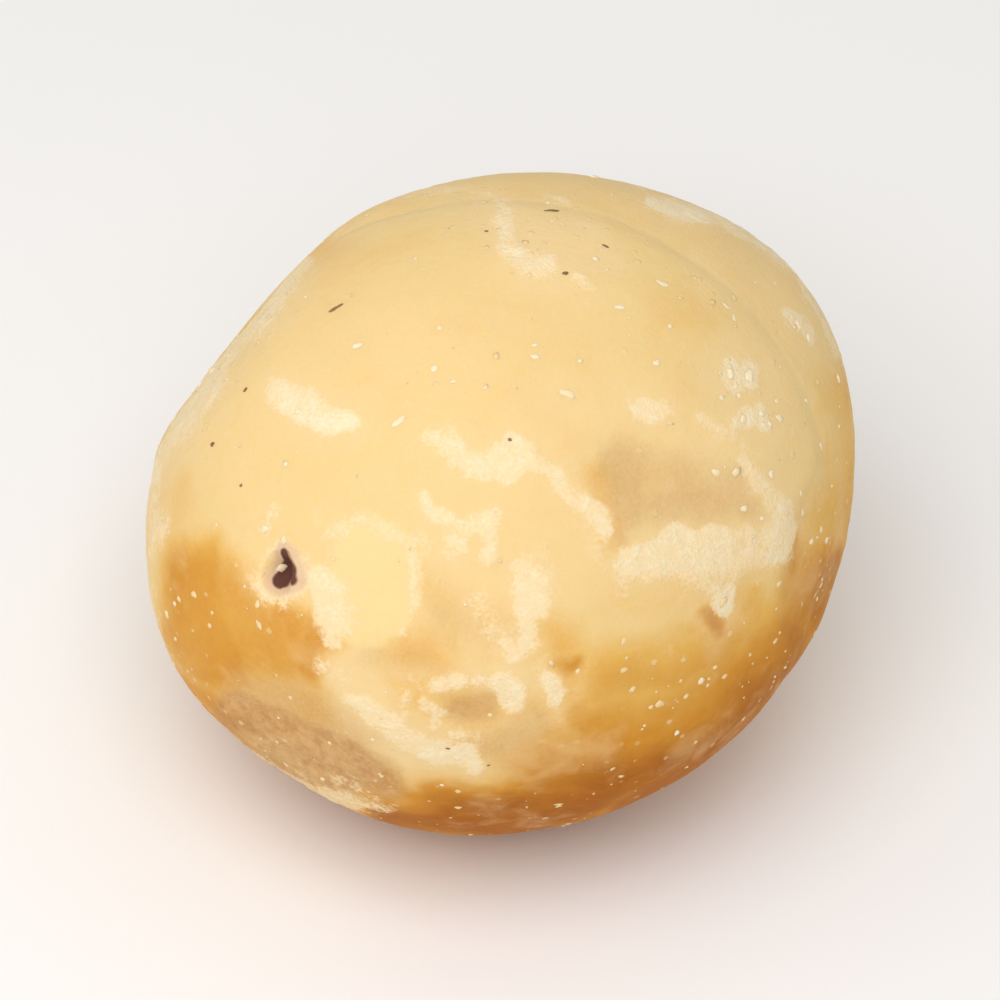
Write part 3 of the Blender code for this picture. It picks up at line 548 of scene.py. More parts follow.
# Larger crumbs on the seen face
CRUMB_FLECKS = (
    Fleck(-9.35, 1.10, 0.26, 0.16, turn=160),
    Fleck(-9.15, 0.55, 0.16, 0.12, turn=80),
    Fleck(-8.65, 2.15, 0.16, 0.10, turn=60),
    Fleck(-8.05, 3.15, 0.14, 0.10, turn=20),
    Fleck(-4.55, 7.15, 0.12, 0.10, turn=90),
    Fleck(-2.60, 2.05, 0.20, 0.10, turn=35),
    Fleck(-5.25, 2.30, 0.08, 0.07),
    Fleck(-3.70, 4.00, 0.13, 0.09),
    Fleck(-1.70, 3.40, 0.09, 0.12, turn=10),
    Fleck(-1.20, 3.05, 0.09, 0.07),
    Fleck(-1.55, 4.45, 0.07, 0.07),
    Fleck(1.75, 2.75, 0.20, 0.13, turn=-30),
    Fleck(0.90, 3.70, 0.12, 0.08, turn=-30),
    Fleck(0.90, 4.00, 0.08, 0.06),
    Fleck(3.10, 5.00, 0.13, 0.07),
    Fleck(4.25, 5.62, 0.20, 0.08, turn=-18),
    Fleck(4.05, 3.55, 0.11, 0.09, turn=20),
    Fleck(4.40, 4.50, 0.08, 0.07),
    Fleck(5.90, 5.05, 0.16, 0.06, turn=-20),
    Fleck(6.10, 4.75, 0.06, 0.13),
    Fleck(5.98, 3.30, 0.12, 0.17, turn=10),
    Fleck(6.12, 2.95, 0.08, 0.09),
    Fleck(6.48, 3.25, 0.15, 0.19),
    Fleck(5.75, 2.65, 0.08, 0.08),
    Fleck(6.20, 2.70, 0.07, 0.07),
    Fleck(6.32, 2.08, 0.16, 0.12),
    Fleck(6.80, 2.25, 0.09, 0.09),
    Fleck(6.86, 1.95, 0.10, 0.09),
    Fleck(7.28, 2.12, 0.13, 0.12),
    Fleck(7.20, 2.58, 0.09, 0.08),
    Fleck(8.00, 2.60, 0.11, 0.09),
    Fleck(7.05, 0.68, 0.10, 0.12),
    Fleck(5.60, 0.72, 0.14, 0.10, turn=-25),
    Fleck(6.32, -0.22, 0.12, 0.09),
    Fleck(6.80, -0.48, 0.08, 0.07),
    Fleck(7.62, 4.85, 0.12, 0.06, turn=-50),
    Fleck(7.82, 4.60, 0.16, 0.10, turn=-40),
    Fleck(8.10, 4.25, 0.08, 0.14, turn=5),
    Fleck(7.95, 5.80, 0.10, 0.07, turn=-50),
    Fleck(7.20, 6.65, 0.12, 0.10, turn=-40),
    Fleck(8.40, 1.40, 0.11, 0.12),
    Fleck(7.90, -0.32, 0.09, 0.12),
    Fleck(8.42, -0.78, 0.11, 0.08, turn=-40),
    Fleck(8.58, -1.05, 0.09, 0.12, turn=20),
    Fleck(8.15, -1.10, 0.11, 0.09),
    Fleck(-5.60, -1.02, 0.10, 0.12),
    Fleck(-6.10, -0.75, 0.12, 0.10),
    # a pale crumb in the pit, which also stands for the glint there: partly a painted highlight
    Fleck(-5.64, -1.76, 0.18, 0.12, turn=15),
)

# Duller crumbs on its roasted places
DULL_FLECKS = (
    Fleck(-8.00, -2.45, 0.13, 0.11),
    Fleck(-8.40, -2.60, 0.10, 0.09, turn=70),
    Fleck(-8.75, -3.00, 0.12, 0.12),
    Fleck(-9.05, -2.50, 0.12, 0.06, turn=100),
    Fleck(-8.60, -4.30, 0.11, 0.09),
    Fleck(-6.30, -2.70, 0.12, 0.09, turn=45),
    Fleck(-6.25, -3.25, 0.16, 0.10, turn=95),
    Fleck(-7.95, -5.30, 0.14, 0.07, turn=10),
    Fleck(8.45, -2.25, 0.11, 0.10),
    Fleck(8.36, -2.60, 0.07, 0.07),
    Fleck(7.30, -2.18, 0.16, 0.10),
    Fleck(5.80, -2.65, 0.11, 0.16, turn=-25),
    Fleck(5.85, -4.60, 0.11, 0.09),
    Fleck(5.60, -4.35, 0.09, 0.07),
    Fleck(4.85, -5.10, 0.10, 0.08, turn=60),
    Fleck(4.15, -5.30, 0.13, 0.14),
    Fleck(4.70, -4.70, 0.07, 0.06),
    Fleck(3.20, -4.40, 0.13, 0.08),
    Fleck(3.20, -3.65, 0.08, 0.11),
    Fleck(7.20, -3.70, 0.10, 0.09),
    Fleck(7.50, -4.40, 0.07, 0.09),
    Fleck(6.40, -5.75, 0.10, 0.07, turn=30),
    Fleck(-1.10, -8.05, 0.10, 0.08),
    Fleck(1.55, -8.02, 0.09, 0.08),
    Fleck(-1.10, -7.60, 0.10, 0.08),
    Fleck(-5.45, -5.15, 0.10, 0.08),
)

# Dark flakes on the seen face
BRAN_FLECKS = (
    Fleck(1.35, 7.56, 0.21, 0.08, turn=3),
    Fleck(1.70, 5.88, 0.10, 0.07),
    Fleck(-4.28, 4.98, 0.23, 0.08, turn=18),
    Fleck(-6.63, 2.87, 0.08, 0.08),
    Fleck(-7.50, 1.45, 0.10, 0.08),
    Fleck(-1.35, -6.45, 0.07, 0.04),
)

# Olive flakes on the seen face
OLIVE_FLECKS = (
    Fleck(2.75, 6.60, 0.12, 0.05, turn=-30),
    Fleck(-0.35, 7.00, 0.07, 0.05),
    Fleck(-6.72, 0.38, 0.06, 0.05),
    Fleck(0.25, 1.55, 0.06, 0.05),
    Fleck(-0.30, -6.90, 0.06, 0.04),
)


@dataclass
class SkinMap:
    """Finds how strongly each mark shows at each point of the skin."""

    points: np.ndarray
    eye: Eye
    broad_warp: float = 0.10
    broad_warp_size: float = 1.1
    fine_warp: float = 0.10
    fine_warp_size: float = 0.40
    drift: float = 0.5
    drift_size: float = 2.1
    drifting: tuple[Mark, ...] = (Mark.ROAST_AND_SHADE, Mark.DUST)
    # the browning low on the sides: painted shade from below, with some roast
    low_from: float = 5.4
    low_to: float = 0.6
    low_roast_and_shade: float = 0.82
    low_waver: float = 1.6
    cloud_size: float = 2.6
    edge_spread: dict[Mark, float] = field(
        default_factory=lambda: {
            Mark.RUBBED: 0.15,
            Mark.WORN: 0.35,
            Mark.CLEAR: 0.25,
            Mark.ROAST_AND_SHADE: 0.30,
            Mark.BURNT_AND_SHADE: 0.36,
        }
    )
    haze_spread: float = 1.1
    haze_share: float = 0.50
    seam_normal: Point = (0.307, 0.368, -0.878)
    scar_end: Point = (0.94, -0.13, 0.28)
    seam_edge: tuple[float, float] = (-0.10, 0.25)
    scar_radius: float = 2.7
    scar_waver: float = 3.0
    scar_edge: tuple[float, float] = (0.5, -0.3)

    def __post_init__(self) -> None:
        """Works out the warps once, since every streak shares them."""
        broad = self.pair(self.broad_warp_size, Pattern.WARP_ACROSS, Pattern.WARP_UP)
        fine = self.pair(self.fine_warp_size, Pattern.FINE_ACROSS, Pattern.FINE_UP)
        self.warp = self.broad_warp * broad + self.fine_warp * fine
        drift = self.pair(self.drift_size, Pattern.DRIFT_ACROSS, Pattern.DRIFT_UP)
        self.wander = self.drift * drift
        self.cloud = noise_at(self.points, self.cloud_size, Pattern.CLOUD)

    def pair(self, size: float, across: Pattern, up: Pattern) -> np.ndarray:
        """Two noises of one size at each point, for a shift across and up."""
        return np.stack([noise_at(self.points, size, pattern) for pattern in (across, up)], axis=1)

    def on_face(self, face: Face) -> np.ndarray:
        """Where each point lies on a face, in millimetres across and up.

        Past the face's outline the places run on outwards, so a streak at the edge wraps round it.

        Args:
            face: The face that is looked at.

        Returns:
            Rows of across and up.
        """
        right, up, outward = (np.array(axis) for axis in self.eye.axes(face))
        flat = np.stack([self.points @ right, self.points @ up], axis=1)
        reach = np.linalg.norm(self.points, axis=1)
        lean = np.arccos(np.clip(self.points @ outward / reach, -1, 1))
        past = np.maximum(lean - math.pi / 2, 0)
        spread = np.linalg.norm(flat, axis=1) + TINY
        stretch = np.where(past > 0, reach * (1 + past) / spread, 1)
        return flat * stretch[:, None] + self.warp

    def mark(self, mark: Mark, spread: float = 0.0) -> np.ndarray:
        """How strongly a mark shows, as the most that any of its streaks gives.

        Args:
            mark: One of the marks that have streaks.
            spread: How much wider and softer they are read.

        Returns:
            One value for each point.
        """
        total = np.zeros(len(self.points))
        for face in Face:
            places = self.on_face(face)
            if mark in self.drifting:
                places = places + self.wander
            for line in STREAKS[mark]:
                if line.face is face:
                    total = np.maximum(total, line.at(places, spread))
        return total

    def roast_and_shade(self) -> np.ndarray:
        """The streaks of roast and painted shade, over the browning low on the sides, which is painted
        shade from below with some roast.

        Returns:
            One value for each point.
        """
        height = self.points[:, 2] + MIDDLE_HEIGHT + self.low_waver * self.cloud
        low = self.low_roast_and_shade * smooth_step(height, self.low_from, self.low_to)
        streaks = self.mark(Mark.ROAST_AND_SHADE, self.edge_spread[Mark.ROAST_AND_SHADE])
        return low + streaks * (1 - low)

    def beyond_seam(self) -> np.ndarray:
        """How far each point lies beyond the seam's plane, in millimetres."""
        return self.points @ np.array(self.eye.direction(*self.seam_normal))

    def scar(self) -> np.ndarray:
        """The stalk scar.

        Returns:
            For each point, 1 all over the scar, falling to 0 past its rim.
        """
        reach = np.linalg.norm(self.points, axis=1)
        facing = self.points @ np.array(self.eye.direction(*self.scar_end)) / reach
        arc = MEAN_RADIUS * np.arccos(np.clip(facing, -1, 1)) + self.scar_waver * self.warp[:, 0]
        outer, inner = self.scar_edge
        return smooth_step(arc, self.scar_radius + outer, self.scar_radius + inner)

    def all_marks(self) -> dict[Mark, np.ndarray]:
        """Finds every mark's strength.

        Returns:
            One value for each point, by mark.
        """
        marks = {mark: self.mark(mark, self.edge_spread.get(mark, 0)) for mark in STREAKS}
        round_rubbed = self.haze_share * self.mark(Mark.RUBBED, self.haze_spread)
        marks[Mark.HAZE] = np.maximum(marks[Mark.HAZE], round_rubbed)
        marks[Mark.ROAST_AND_SHADE] = self.roast_and_shade()
        marks[Mark.FAR_HALF] = smooth_step(self.beyond_seam(), *self.seam_edge)
        marks[Mark.SCAR] = self.scar()
        return marks


@dataclass
class Skin:
    """The kernel's whole surface, as one closed mesh."""

    solid: bpy.types.Object
    eye: Eye
    middle: Vector
    splits: int = 2
    weld: float = 1e-6
    rubbed_rise: float = 0.012
    rubbed_grain: float = 0.027
    worn_sink: float = 0.020
    worn_stipple: float = 0.022
    worn_grain: float = 0.0088
    wave_rise: float = 0.025
    grain_rise: float = 0.006
    scar_grain: float = 0.035
    seam_fill: float = 0.025
    seam_wave: float = 0.04
    seam_half_width: float = 0.30
    floor_clear: float = 0.9
    rubbed_rag: float = 0.25
    rubbed_edge: tuple[float, float] = (0.20, 0.90)
    worn_rag: float = 0.15
    worn_edge: tuple[float, float] = (0.10, 0.85)
    wave_size: float = 1.3
    lump_size: float = 0.55
    stipple_size: float = 0.34
    grain_size: float = 0.24
    seam_wave_size: float = 1.9

    def fine_mesh(self) -> bpy.types.Mesh:
        """A merged copy of the solid's mesh, subdivided to a smooth surface.

        Returns:
            A new mesh.
        """
        shape = bmesh.new()
        shape.from_mesh(self.solid.data)
        bmesh.ops.remove_doubles(shape, verts=shape.verts[:], dist=self.weld)
        coarse = bpy.data.meshes.new("kernel_coarse")
        shape.to_mesh(coarse)
        shape.free()
        holder = bpy.data.objects.new("kernel_coarse", coarse)
        bpy.context.scene.collection.objects.link(holder)
        smoother = holder.modifiers.new("smooth", "SUBSURF")
        smoother.levels = self.splits
        smoother.render_levels = self.splits
        graph = bpy.context.evaluated_depsgraph_get()
        fine = bpy.data.meshes.new_from_object(holder.evaluated_get(graph))
        bpy.data.objects.remove(holder)
        bpy.data.meshes.remove(coarse)
        fine.materials.clear()
        fine.name = "kernel_skin"
        return fine

    def relief(self, skin_map: SkinMap, marks: dict[Mark, np.ndarray]) -> np.ndarray:
        """How far the surface stands out of or sinks under the smooth form.

        Args:
            skin_map: The points and their warps.
            marks: How strongly each mark shows.

        Returns:
            Heights in millimetres.
        """
        points = skin_map.points
        wave = noise_at(points, self.wave_size, Pattern.WAVE)
        lumps = noise_at(points, self.lump_size, Pattern.LUMPS)
        stipple = noise_at(points, self.stipple_size, Pattern.STIPPLE)
        grain = noise_at(points, self.grain_size, Pattern.GRAIN)
        rubbed = smooth_step(marks[Mark.RUBBED] + self.rubbed_rag * stipple, *self.rubbed_edge)
        worn = smooth_step(marks[Mark.WORN] + self.worn_rag * stipple, *self.worn_edge)
        height = self.wave_rise * wave + self.grain_rise * grain
        height += rubbed * (self.rubbed_rise + self.rubbed_grain * (lumps + grain))
        height += worn * (self.worn_stipple * stipple + self.worn_grain * grain - self.worn_sink)
        height += self.scar_grain * marks[Mark.SCAR] * stipple
        height += self.seam_rise(skin_map) * (1 - marks[Mark.SCAR])
        lowness = points[:, 2] + MIDDLE_HEIGHT
        return height * smooth_step(lowness, 0.0, self.floor_clear)

    def seam_rise(self, skin_map: SkinMap) -> np.ndarray:
        """How far the seam is filled up, unevenly along its way.

        Args:
            skin_map: The points.

        Returns:
            Heights in millimetres.
        """
        nearness = np.exp(-((skin_map.beyond_seam() / self.seam_half_width) ** 2))
        unevenness = noise_at(skin_map.points, self.seam_wave_size, Pattern.SEAM)
        return nearness * (self.seam_fill + self.seam_wave * unevenness)

    def build(self) -> bpy.types.Object:
        """Makes the skin, with its relief and its marks as attributes.

        Returns:
            The new object.
        """
        mesh = self.fine_mesh()
        count = len(mesh.vertices)
        places = np.empty(count * 3)
        mesh.vertices.foreach_get("co", places)
        places = places.reshape(-1, 3)
        normals = np.empty(count * 3)
        mesh.vertices.foreach_get("normal", normals)
        skin_map = SkinMap((places - np.array(self.middle)) / MM, self.eye)
        marks = skin_map.all_marks()
        places += normals.reshape(-1, 3) * (self.relief(skin_map, marks) * MM)[:, None]
        places[:, 2] = np.maximum(places[:, 2], 0)
        mesh.vertices.foreach_set("co", places.ravel())
        for mark, values in marks.items():
            attribute = mesh.attributes.new(mark.value, "FLOAT", "POINT")
            attribute.data.foreach_set("value", values.astype(np.float32))
        mesh.shade_smooth()
        mesh.update()
        skin = bpy.data.objects.new("kernel_skin", mesh)
        bpy.context.scene.collection.objects.link(skin)
        return skin


class Wire:
    """A shader socket that can be used in sums."""

    def __init__(self, bench: "Bench", socket: bpy.types.NodeSocket) -> None:
        """Holds the socket and the node tree that it is in."""
        self.bench = bench
        self.socket = socket

    def math(self, operation: str, *values: Any) -> "Wire":
        """Adds a Math node.

        Args:
            operation: The node's operation.
            values: Its sockets' values or wires, in order.

        Returns:
            The result.
        """
        names = ("Value", "Value_001", "Value_002")
        node = self.bench.add("ShaderNodeMath", {"operation": operation}, dict(zip(names, values)))
        return Wire(self.bench, node.outputs[0])

    def __add__(self, other: Any) -> "Wire":
        """This plus another."""
        return self.math("ADD", self, other)

    def __radd__(self, other: Any) -> "Wire":
        """Another plus this."""
        return self.math("ADD", other, self)

    def __sub__(self, other: Any) -> "Wire":
        """This less another."""
        return self.math("SUBTRACT", self, other)

    def __rsub__(self, other: Any) -> "Wire":
        """Another less this."""
        return self.math("SUBTRACT", other, self)

    def __mul__(self, other: Any) -> "Wire":
        """This times another."""
        return self.math("MULTIPLY", self, other)

    def __rmul__(self, other: Any) -> "Wire":
        """Another times this."""
        return self.math("MULTIPLY", other, self)

    def at_least(self, other: Any) -> "Wire":
        """The greater of this and another."""
        return self.math("MAXIMUM", self, other)

    def rise(self, low: float, high: float) -> "Wire":
        """Rises smoothly from 0 where this is low to 1 where it is high.

        Args:
            low: Where the rise starts.
            high: Where it ends.

        Returns:
            The share, from 0 to 1.
        """
        node = self.bench.add(
            "ShaderNodeMapRange",
            {"interpolation_type": "SMOOTHSTEP", "clamp": True},
            {"Value": self, "From Min": low, "From Max": high},
        )
        return Wire(self.bench, node.outputs["Result"])


class Bench:
    """One material and its nodes, from which finishes are put together."""

    def __init__(self, name: str) -> None:
        """Makes the material with only its output and its Principled shader.

        Args:
            name: The material's name.
        """
        self.material = bpy.data.materials.new(name)
        self.material.use_nodes = True
        self.nodes = self.material.node_tree.nodes
        self.links = self.material.node_tree.links
        self.shader = self.nodes["Principled BSDF"]
        place = self.add("ShaderNodeTexCoord").outputs["Object"]
        scaled = self.add(
            "ShaderNodeVectorMath", {"operation": "SCALE"}, {"Vector": place, "Scale": 1 / MM}
        )
        self.point = scaled.outputs["Vector"]

    def feed(self, node: bpy.types.Node, inputs: dict[str, Any]) -> None:
        """Sets or links a node's sockets.

        Args:
            node: The node.
            inputs: Values, sockets or wires, by the identifier of the socket that takes them.
        """
        for name, value in inputs.items():
            socket = next(found for found in node.inputs if found.identifier == name)
            if isinstance(value, Wire):
                self.links.new(value.socket, socket)
            elif isinstance(value, bpy.types.NodeSocket):
                self.links.new(value, socket)
            else:
                socket.default_value = value

    def add(
        self,
        kind: str,
        settings: dict[str, Any] | None = None,
        inputs: dict[str, Any] | None = None,
    ) -> bpy.types.Node:
        """Adds a node of any kind.

        Args:
            kind: The node's type.
            settings: Its properties, and under "stops" the places and colours of a ramp.
            inputs: Its sockets' values or links, by identifier.

        Returns:
            The node.
        """
        node = self.nodes.new(kind)
        for name, value in (settings or {}).items():
            if name == "stops":
                self.set_stops(node.color_ramp, value)
            else:
                setattr(node, name, value)
        self.feed(node, inputs or {})
        return node

    @staticmethod
    def set_stops(ramp: bpy.types.ColorRamp, stops: Sequence[tuple[float, Tone]]) -> None:
        """Gives a colour ramp its stops.

        Args:
            ramp: The ramp, which has two stops when new.
            stops: Places from 0 to 1 and their colours.
        """
        while len(ramp.elements) < len(stops):
            ramp.elements.new(1)
        for element, (place, tone) in zip(ramp.elements, stops):
            element.position = place
            element.color = (*tone.value, 1)

    def mark(self, mark: Mark) -> Wire:
        """A mark's strength, read from the mesh."""
        node = self.add("ShaderNodeAttribute", {"attribute_name": mark.value})
        return Wire(self, node.outputs["Fac"])

    def noise(self, size: float, detail: float = 2, rough: float = 0.5, lean: float = 0) -> Wire:
        """Noise in the piece's own space.

        Args:
            size: Size of its bumps in millimetres.
            detail: How many finer layers it has.
            rough: How strong those are.
            lean: How much it is distorted.

        Returns:
            Values from about -0.5 to 0.5.
        """
        node = self.add(
            "ShaderNodeTexNoise",
            {"noise_dimensions": "3D"},
            {
                "Vector": self.point,
                "Scale": 1 / size,
                "Detail": detail,
                "Roughness": rough,
                "Distortion": lean,
            },
        )
        return Wire(self, node.outputs["Fac"]) - 0.5

    def dots(self, size: float, radius: float, share: float, soft: float, jag: Wire) -> Wire:
        """Small roundish dots, one in some of the cells of a net.

        Args:
            size: Size of a cell in millimetres.
            radius: Radius of the largest dot, as a share of a cell.
            share: The share of cells that has one.
            soft: Width of a dot's edge, as a share of a cell.
            jag: What makes its outline uneven, in the same share.

        Returns:
            1 in a dot and 0 outside.
        """
        node = self.add(
            "ShaderNodeTexVoronoi", {"feature": "F1"}, {"Vector": self.point, "Scale": 1 / size}
        )
        drawn = self.add("ShaderNodeSeparateColor", {}, {"Color": node.outputs["Color"]})
        lot = Wire(self, drawn.outputs["Red"])
        width = (lot - (1 - share)) * (radius / share)
        return (width + jag - Wire(self, node.outputs["Distance"])).rise(0, soft)

    def mix(self, first: Any, second: Any, share: Any) -> bpy.types.NodeSocket:
        """Mixes two colours.

        Args:
            first: A tone or a colour socket.
            second: The same.
            share: How much of the second shows.

        Returns:
            The mixed colour.
        """
        colours = [(*c.value, 1) if isinstance(c, Tone) else c for c in (first, second)]
        node = self.add(
            "ShaderNodeMix",
            {"data_type": "RGBA", "clamp_factor": True},
            {"Factor_Float": share, "A_Color": colours[0], "B_Color": colours[1]},
        )
        return next(out for out in node.outputs if out.identifier == "Result_Color")

    def bump(self, height: Wire) -> bpy.types.NodeSocket:
        """Turns a height in millimetres into a normal."""
        node = self.add("ShaderNodeBump", {}, {"Height": height * MM, "Distance": 1.0})
        return node.outputs["Normal"]


class FleshBench(Bench):
    """The flesh's material, with its noises, and its marks made ragged by them.

    The constants say how much the far half and the scar add to the roast, how strongly the spots in
    the haze show, and how far roast with its painted shade, and wear, thin the haze.
    """

    FAR_ROAST = 0.06
    SCAR_ROAST = 0.08
    SPOT_SHARE = 0.42
    ROAST_AND_SHADE_THINS = 0.95
    WEAR_THINS = 0.6

    def __init__(self) -> None:
        """Adds the noises, from the broadest to the finest, and reads the marks."""
        super().__init__("roasted_flesh")
        self.noises = {
            "cloud": self.noise(size=2.4, detail=2),
            "mottle": self.noise(size=0.9, detail=4, rough=0.6, lean=0.6),
            "fleece": self.noise(size=0.36, detail=3, rough=0.6, lean=0.5),
            "grit": self.noise(size=0.11, detail=2, rough=0.6),
        }
        self.scar = self.mark(Mark.SCAR)
        self.worn = self.ragged(Mark.WORN, mottle=0.5, fleece=0.3).rise(low=0.05, high=0.85)
        self.clear = self.ragged(Mark.CLEAR, fleece=0.2).rise(low=0.10, high=0.85)
        self.roast_and_shade = self.roasting_and_shading()
        self.powder = self.ragged(Mark.RUBBED, cloud=0.35, mottle=0.6, fleece=0.8, grit=0.9)
        self.chalk = self.powder.rise(low=0.30, high=0.85)
        self.haze = self.hazing()
        self.flecks = self.flecking()

    def blend(self, **weights: float) -> Wire:
        """The sum of some of the noises, by their names and weights."""
        first, *others = (self.noises[name] * weight for name, weight in weights.items())
        return sum(others, first)

    def ragged(self, mark: Mark, **weights: float) -> Wire:
        """A mark's strength with noises added, by their names and weights."""
        return self.mark(mark) + self.blend(**weights)

    def roasting_and_shading(self) -> Wire:
        """The roast with its painted shade, unevenly warm, a little stronger on the far half and on the
        scar.
        """
        roast_and_shade = self.ragged(Mark.ROAST_AND_SHADE, cloud=0.16, mottle=0.22, fleece=0.08)
        return roast_and_shade + self.mark(Mark.FAR_HALF) * self.FAR_ROAST + self.scar * self.SCAR_ROAST

    def hazing(self) -> Wire:
        """A film with soft spots in it, thin where the skin is roasted or painted in shade, and where it is
        worn.

        Returns:
            How thick the haze lies.
        """
        film = self.ragged(Mark.HAZE, mottle=0.7, fleece=0.6, grit=0.6).rise(low=-0.18, high=0.80)
        jag = self.blend(fleece=0.5, grit=0.3)
        spots = self.dots(size=1.15, radius=0.34, share=0.75, soft=0.22, jag=jag)
        unroasted = 1 - self.roast_and_shade.rise(low=0.15, high=0.75) * self.ROAST_AND_SHADE_THINS
        return (film + spots * self.SPOT_SHARE) * unroasted * (1 - self.worn * self.WEAR_THINS)

    def flecking(self) -> Wire:
        """Fine dots of dust, where the dust lies.

        Returns:
            1 in a dot and 0 outside.
        """
        dusted = self.ragged(Mark.DUST, mottle=1.0).rise(low=-0.20, high=0.35)
        jag = self.blend(grit=0.3)
        return dusted * self.dots(size=0.40, radius=0.32, share=0.5, soft=0.16, jag=jag)


@dataclass(frozen=True)
class FleshFinish:
    """Roasted flesh: faintly clear and oily where whole, chalky where rubbed, matt where worn.

    The covers say how much of what lies under them each layer hides.
    """

    # the amber and brown stops are also the painted shade low down and round the lower right
    roast_and_shade_tones: tuple[tuple[float, Tone], ...] = (
        (0.0, Tone.CREAM),
        (0.30, Tone.GOLD),
        (0.60, Tone.AMBER),
        (1.0, Tone.BROWN),
    )
    pink_cover: float = 0.35
    clear_cover: float = 0.80
    worn_cover: float = 0.85
    scar_cover: float = 0.05
    haze_cover: float = 0.60
    chalk_cover: float = 0.92
    fleck_cover: float = 0.55
    halo_cover: float = 0.80
    scatter: float = 0.25
    scatter_depth: float = 0.8
    scatter_colour: Colour = (1.0, 0.50, 0.22)
    whole_roughness: float = 0.46
    chalk_roughness: float = 0.84
    grit_roughness: float = 0.12
    worn_matt: float = 0.9
    worn_rise: float = 0.02
    fleck_rise: float = 0.02
    gloss: float = 0.03
    ior: float = 1.46

    def whole_skin(self, bench: FleshBench) -> bpy.types.NodeSocket:
        """The colour of the skin where nothing lies on it: roasted with painted shade, pink, clear, worn or
        hazy.

        Args:
            bench: The material.

        Returns:
            The colour.
        """
        roasted_and_shaded = bench.add("ShaderNodeValToRGB", {"stops": self.roast_and_shade_tones}, {"Fac": bench.roast_and_shade})
        pink = bench.blend(cloud=1.0, mottle=-0.5).rise(low=0.0, high=0.3)
        warmed = bench.mix(roasted_and_shaded.outputs["Color"], Tone.PINK_CREAM, pink * self.pink_cover)
        window = bench.mix(warmed, Tone.BUTTER, bench.clear * self.clear_cover)
        pale = bench.blend(mottle=1.0, fleece=0.5, grit=0.3).rise(low=-0.25, high=0.30)
        tan = bench.mix(Tone.TAN, Tone.PALE_TAN, pale)
        bared = (bench.worn * self.worn_cover).at_least(bench.scar * self.scar_cover)
        scuffed = bench.mix(window, tan, bared)
        return bench.mix(scuffed, Tone.WARM_CHALK, bench.haze * self.haze_cover)

    def colour(self, bench: FleshBench) -> bpy.types.NodeSocket:
        """The whole colour: the skin under chalk and dust, and the pit with its halo, the pit partly
        painted shade.

        Args:
            bench: The material.

        Returns:
            The colour.
        """
        thick = (bench.powder + bench.blend(grit=0.5)).rise(low=0.3, high=0.9)
        thickest = (bench.powder + bench.blend(fleece=1.0, grit=0.5)).rise(low=0.85, high=1.5)
        chalky = bench.mix(Tone.WARM_CHALK, Tone.CHALK, thick)
        brightest = bench.mix(chalky, Tone.BRIGHT_CHALK, thickest)
        rubbed_skin = bench.mix(self.whole_skin(bench), brightest, bench.chalk * self.chalk_cover)
        freckled = bench.mix(rubbed_skin, Tone.DUST, bench.flecks * self.fleck_cover)
        singed = bench.ragged(Mark.BURNT_AND_SHADE, fleece=0.3).rise(low=0.05, high=0.6)
        # the pit's dark core: burnt colour, partly painted shade in the hole
        burnt_and_shade = bench.ragged(Mark.BURNT_AND_SHADE, fleece=0.15).rise(low=0.80, high=0.98)
        haloed = bench.mix(freckled, Tone.SINGED, singed * self.halo_cover)
        return bench.mix(haloed, Tone.BURNT_AND_SHADE, burnt_and_shade)

    def height(self, bench: FleshBench) -> Wire:
        """The finest relief, in millimetres: faint all over, stronger in the chalk and the scuffs.

        Args:
            bench: The material.

        Returns:
            The height.
        """
        everywhere = bench.blend(mottle=0.025, fleece=0.018, grit=0.008)
        chalk = bench.chalk * bench.blend(fleece=0.022, grit=0.034)
        worn = bench.worn * bench.blend(grit=self.worn_rise)
        return everywhere + chalk + worn + bench.flecks * self.fleck_rise

    def material(self) -> bpy.types.Material:
        """Puts the finish together.

        Returns:
            The material.
        """
        bench = FleshBench()
        matt = bench.chalk.at_least(bench.worn * self.worn_matt)
        roughness = self.whole_roughness + matt * (self.chalk_roughness - self.whole_roughness)
        grit = bench.blend(grit=self.grit_roughness)
        bench.feed(
            bench.shader,
            {
                "Base Color": self.colour(bench),
                "Roughness": roughness + grit,
                "Normal": bench.bump(self.height(bench)),
                "Subsurface Weight": self.scatter,
                "Subsurface Radius": self.scatter_colour,
                "Subsurface Scale": self.scatter_depth * MM,
                "Specular IOR Level": self.gloss,
                "IOR": self.ior,
            },
        )
        return bench.material


@dataclass(frozen=True)
class GrainFinish:
    """The finish of one kind of bit: two tones, how rough it is and how clear."""

    name: str
    tone: Tone
    other_tone: Tone
    roughness: float
    scatter: float
    scatter_colour: Colour = (1.0, 0.8, 0.55)
    scatter_depth: float = 0.1
    patch_size: float = 0.5
    patch_edge: tuple[float, float] = (-0.2, 0.2)
    grit_size: float = 0.05
    grit_rise: float = 0.01
    grit_roughness: float = 0.2

    def material(self) -> bpy.types.Material:
        """Puts the finish together.

        Returns:
            The material.
        """
        bench = Bench(self.name)
        patches = bench.noise(self.patch_size, detail=1).rise(*self.patch_edge)
        grit = bench.noise(self.grit_size, detail=2)
        bench.feed(
            bench.shader,
            {
                "Base Color": bench.mix(self.tone, self.other_tone, patches),
                "Roughness": self.roughness + grit * self.grit_roughness,
                "Normal": bench.bump(grit * self.grit_rise),
                "Subsurface Weight": self.scatter,
                "Subsurface Radius": self.scatter_colour,
                "Subsurface Scale": self.scatter_depth * MM,
            },
        )
        return bench.material


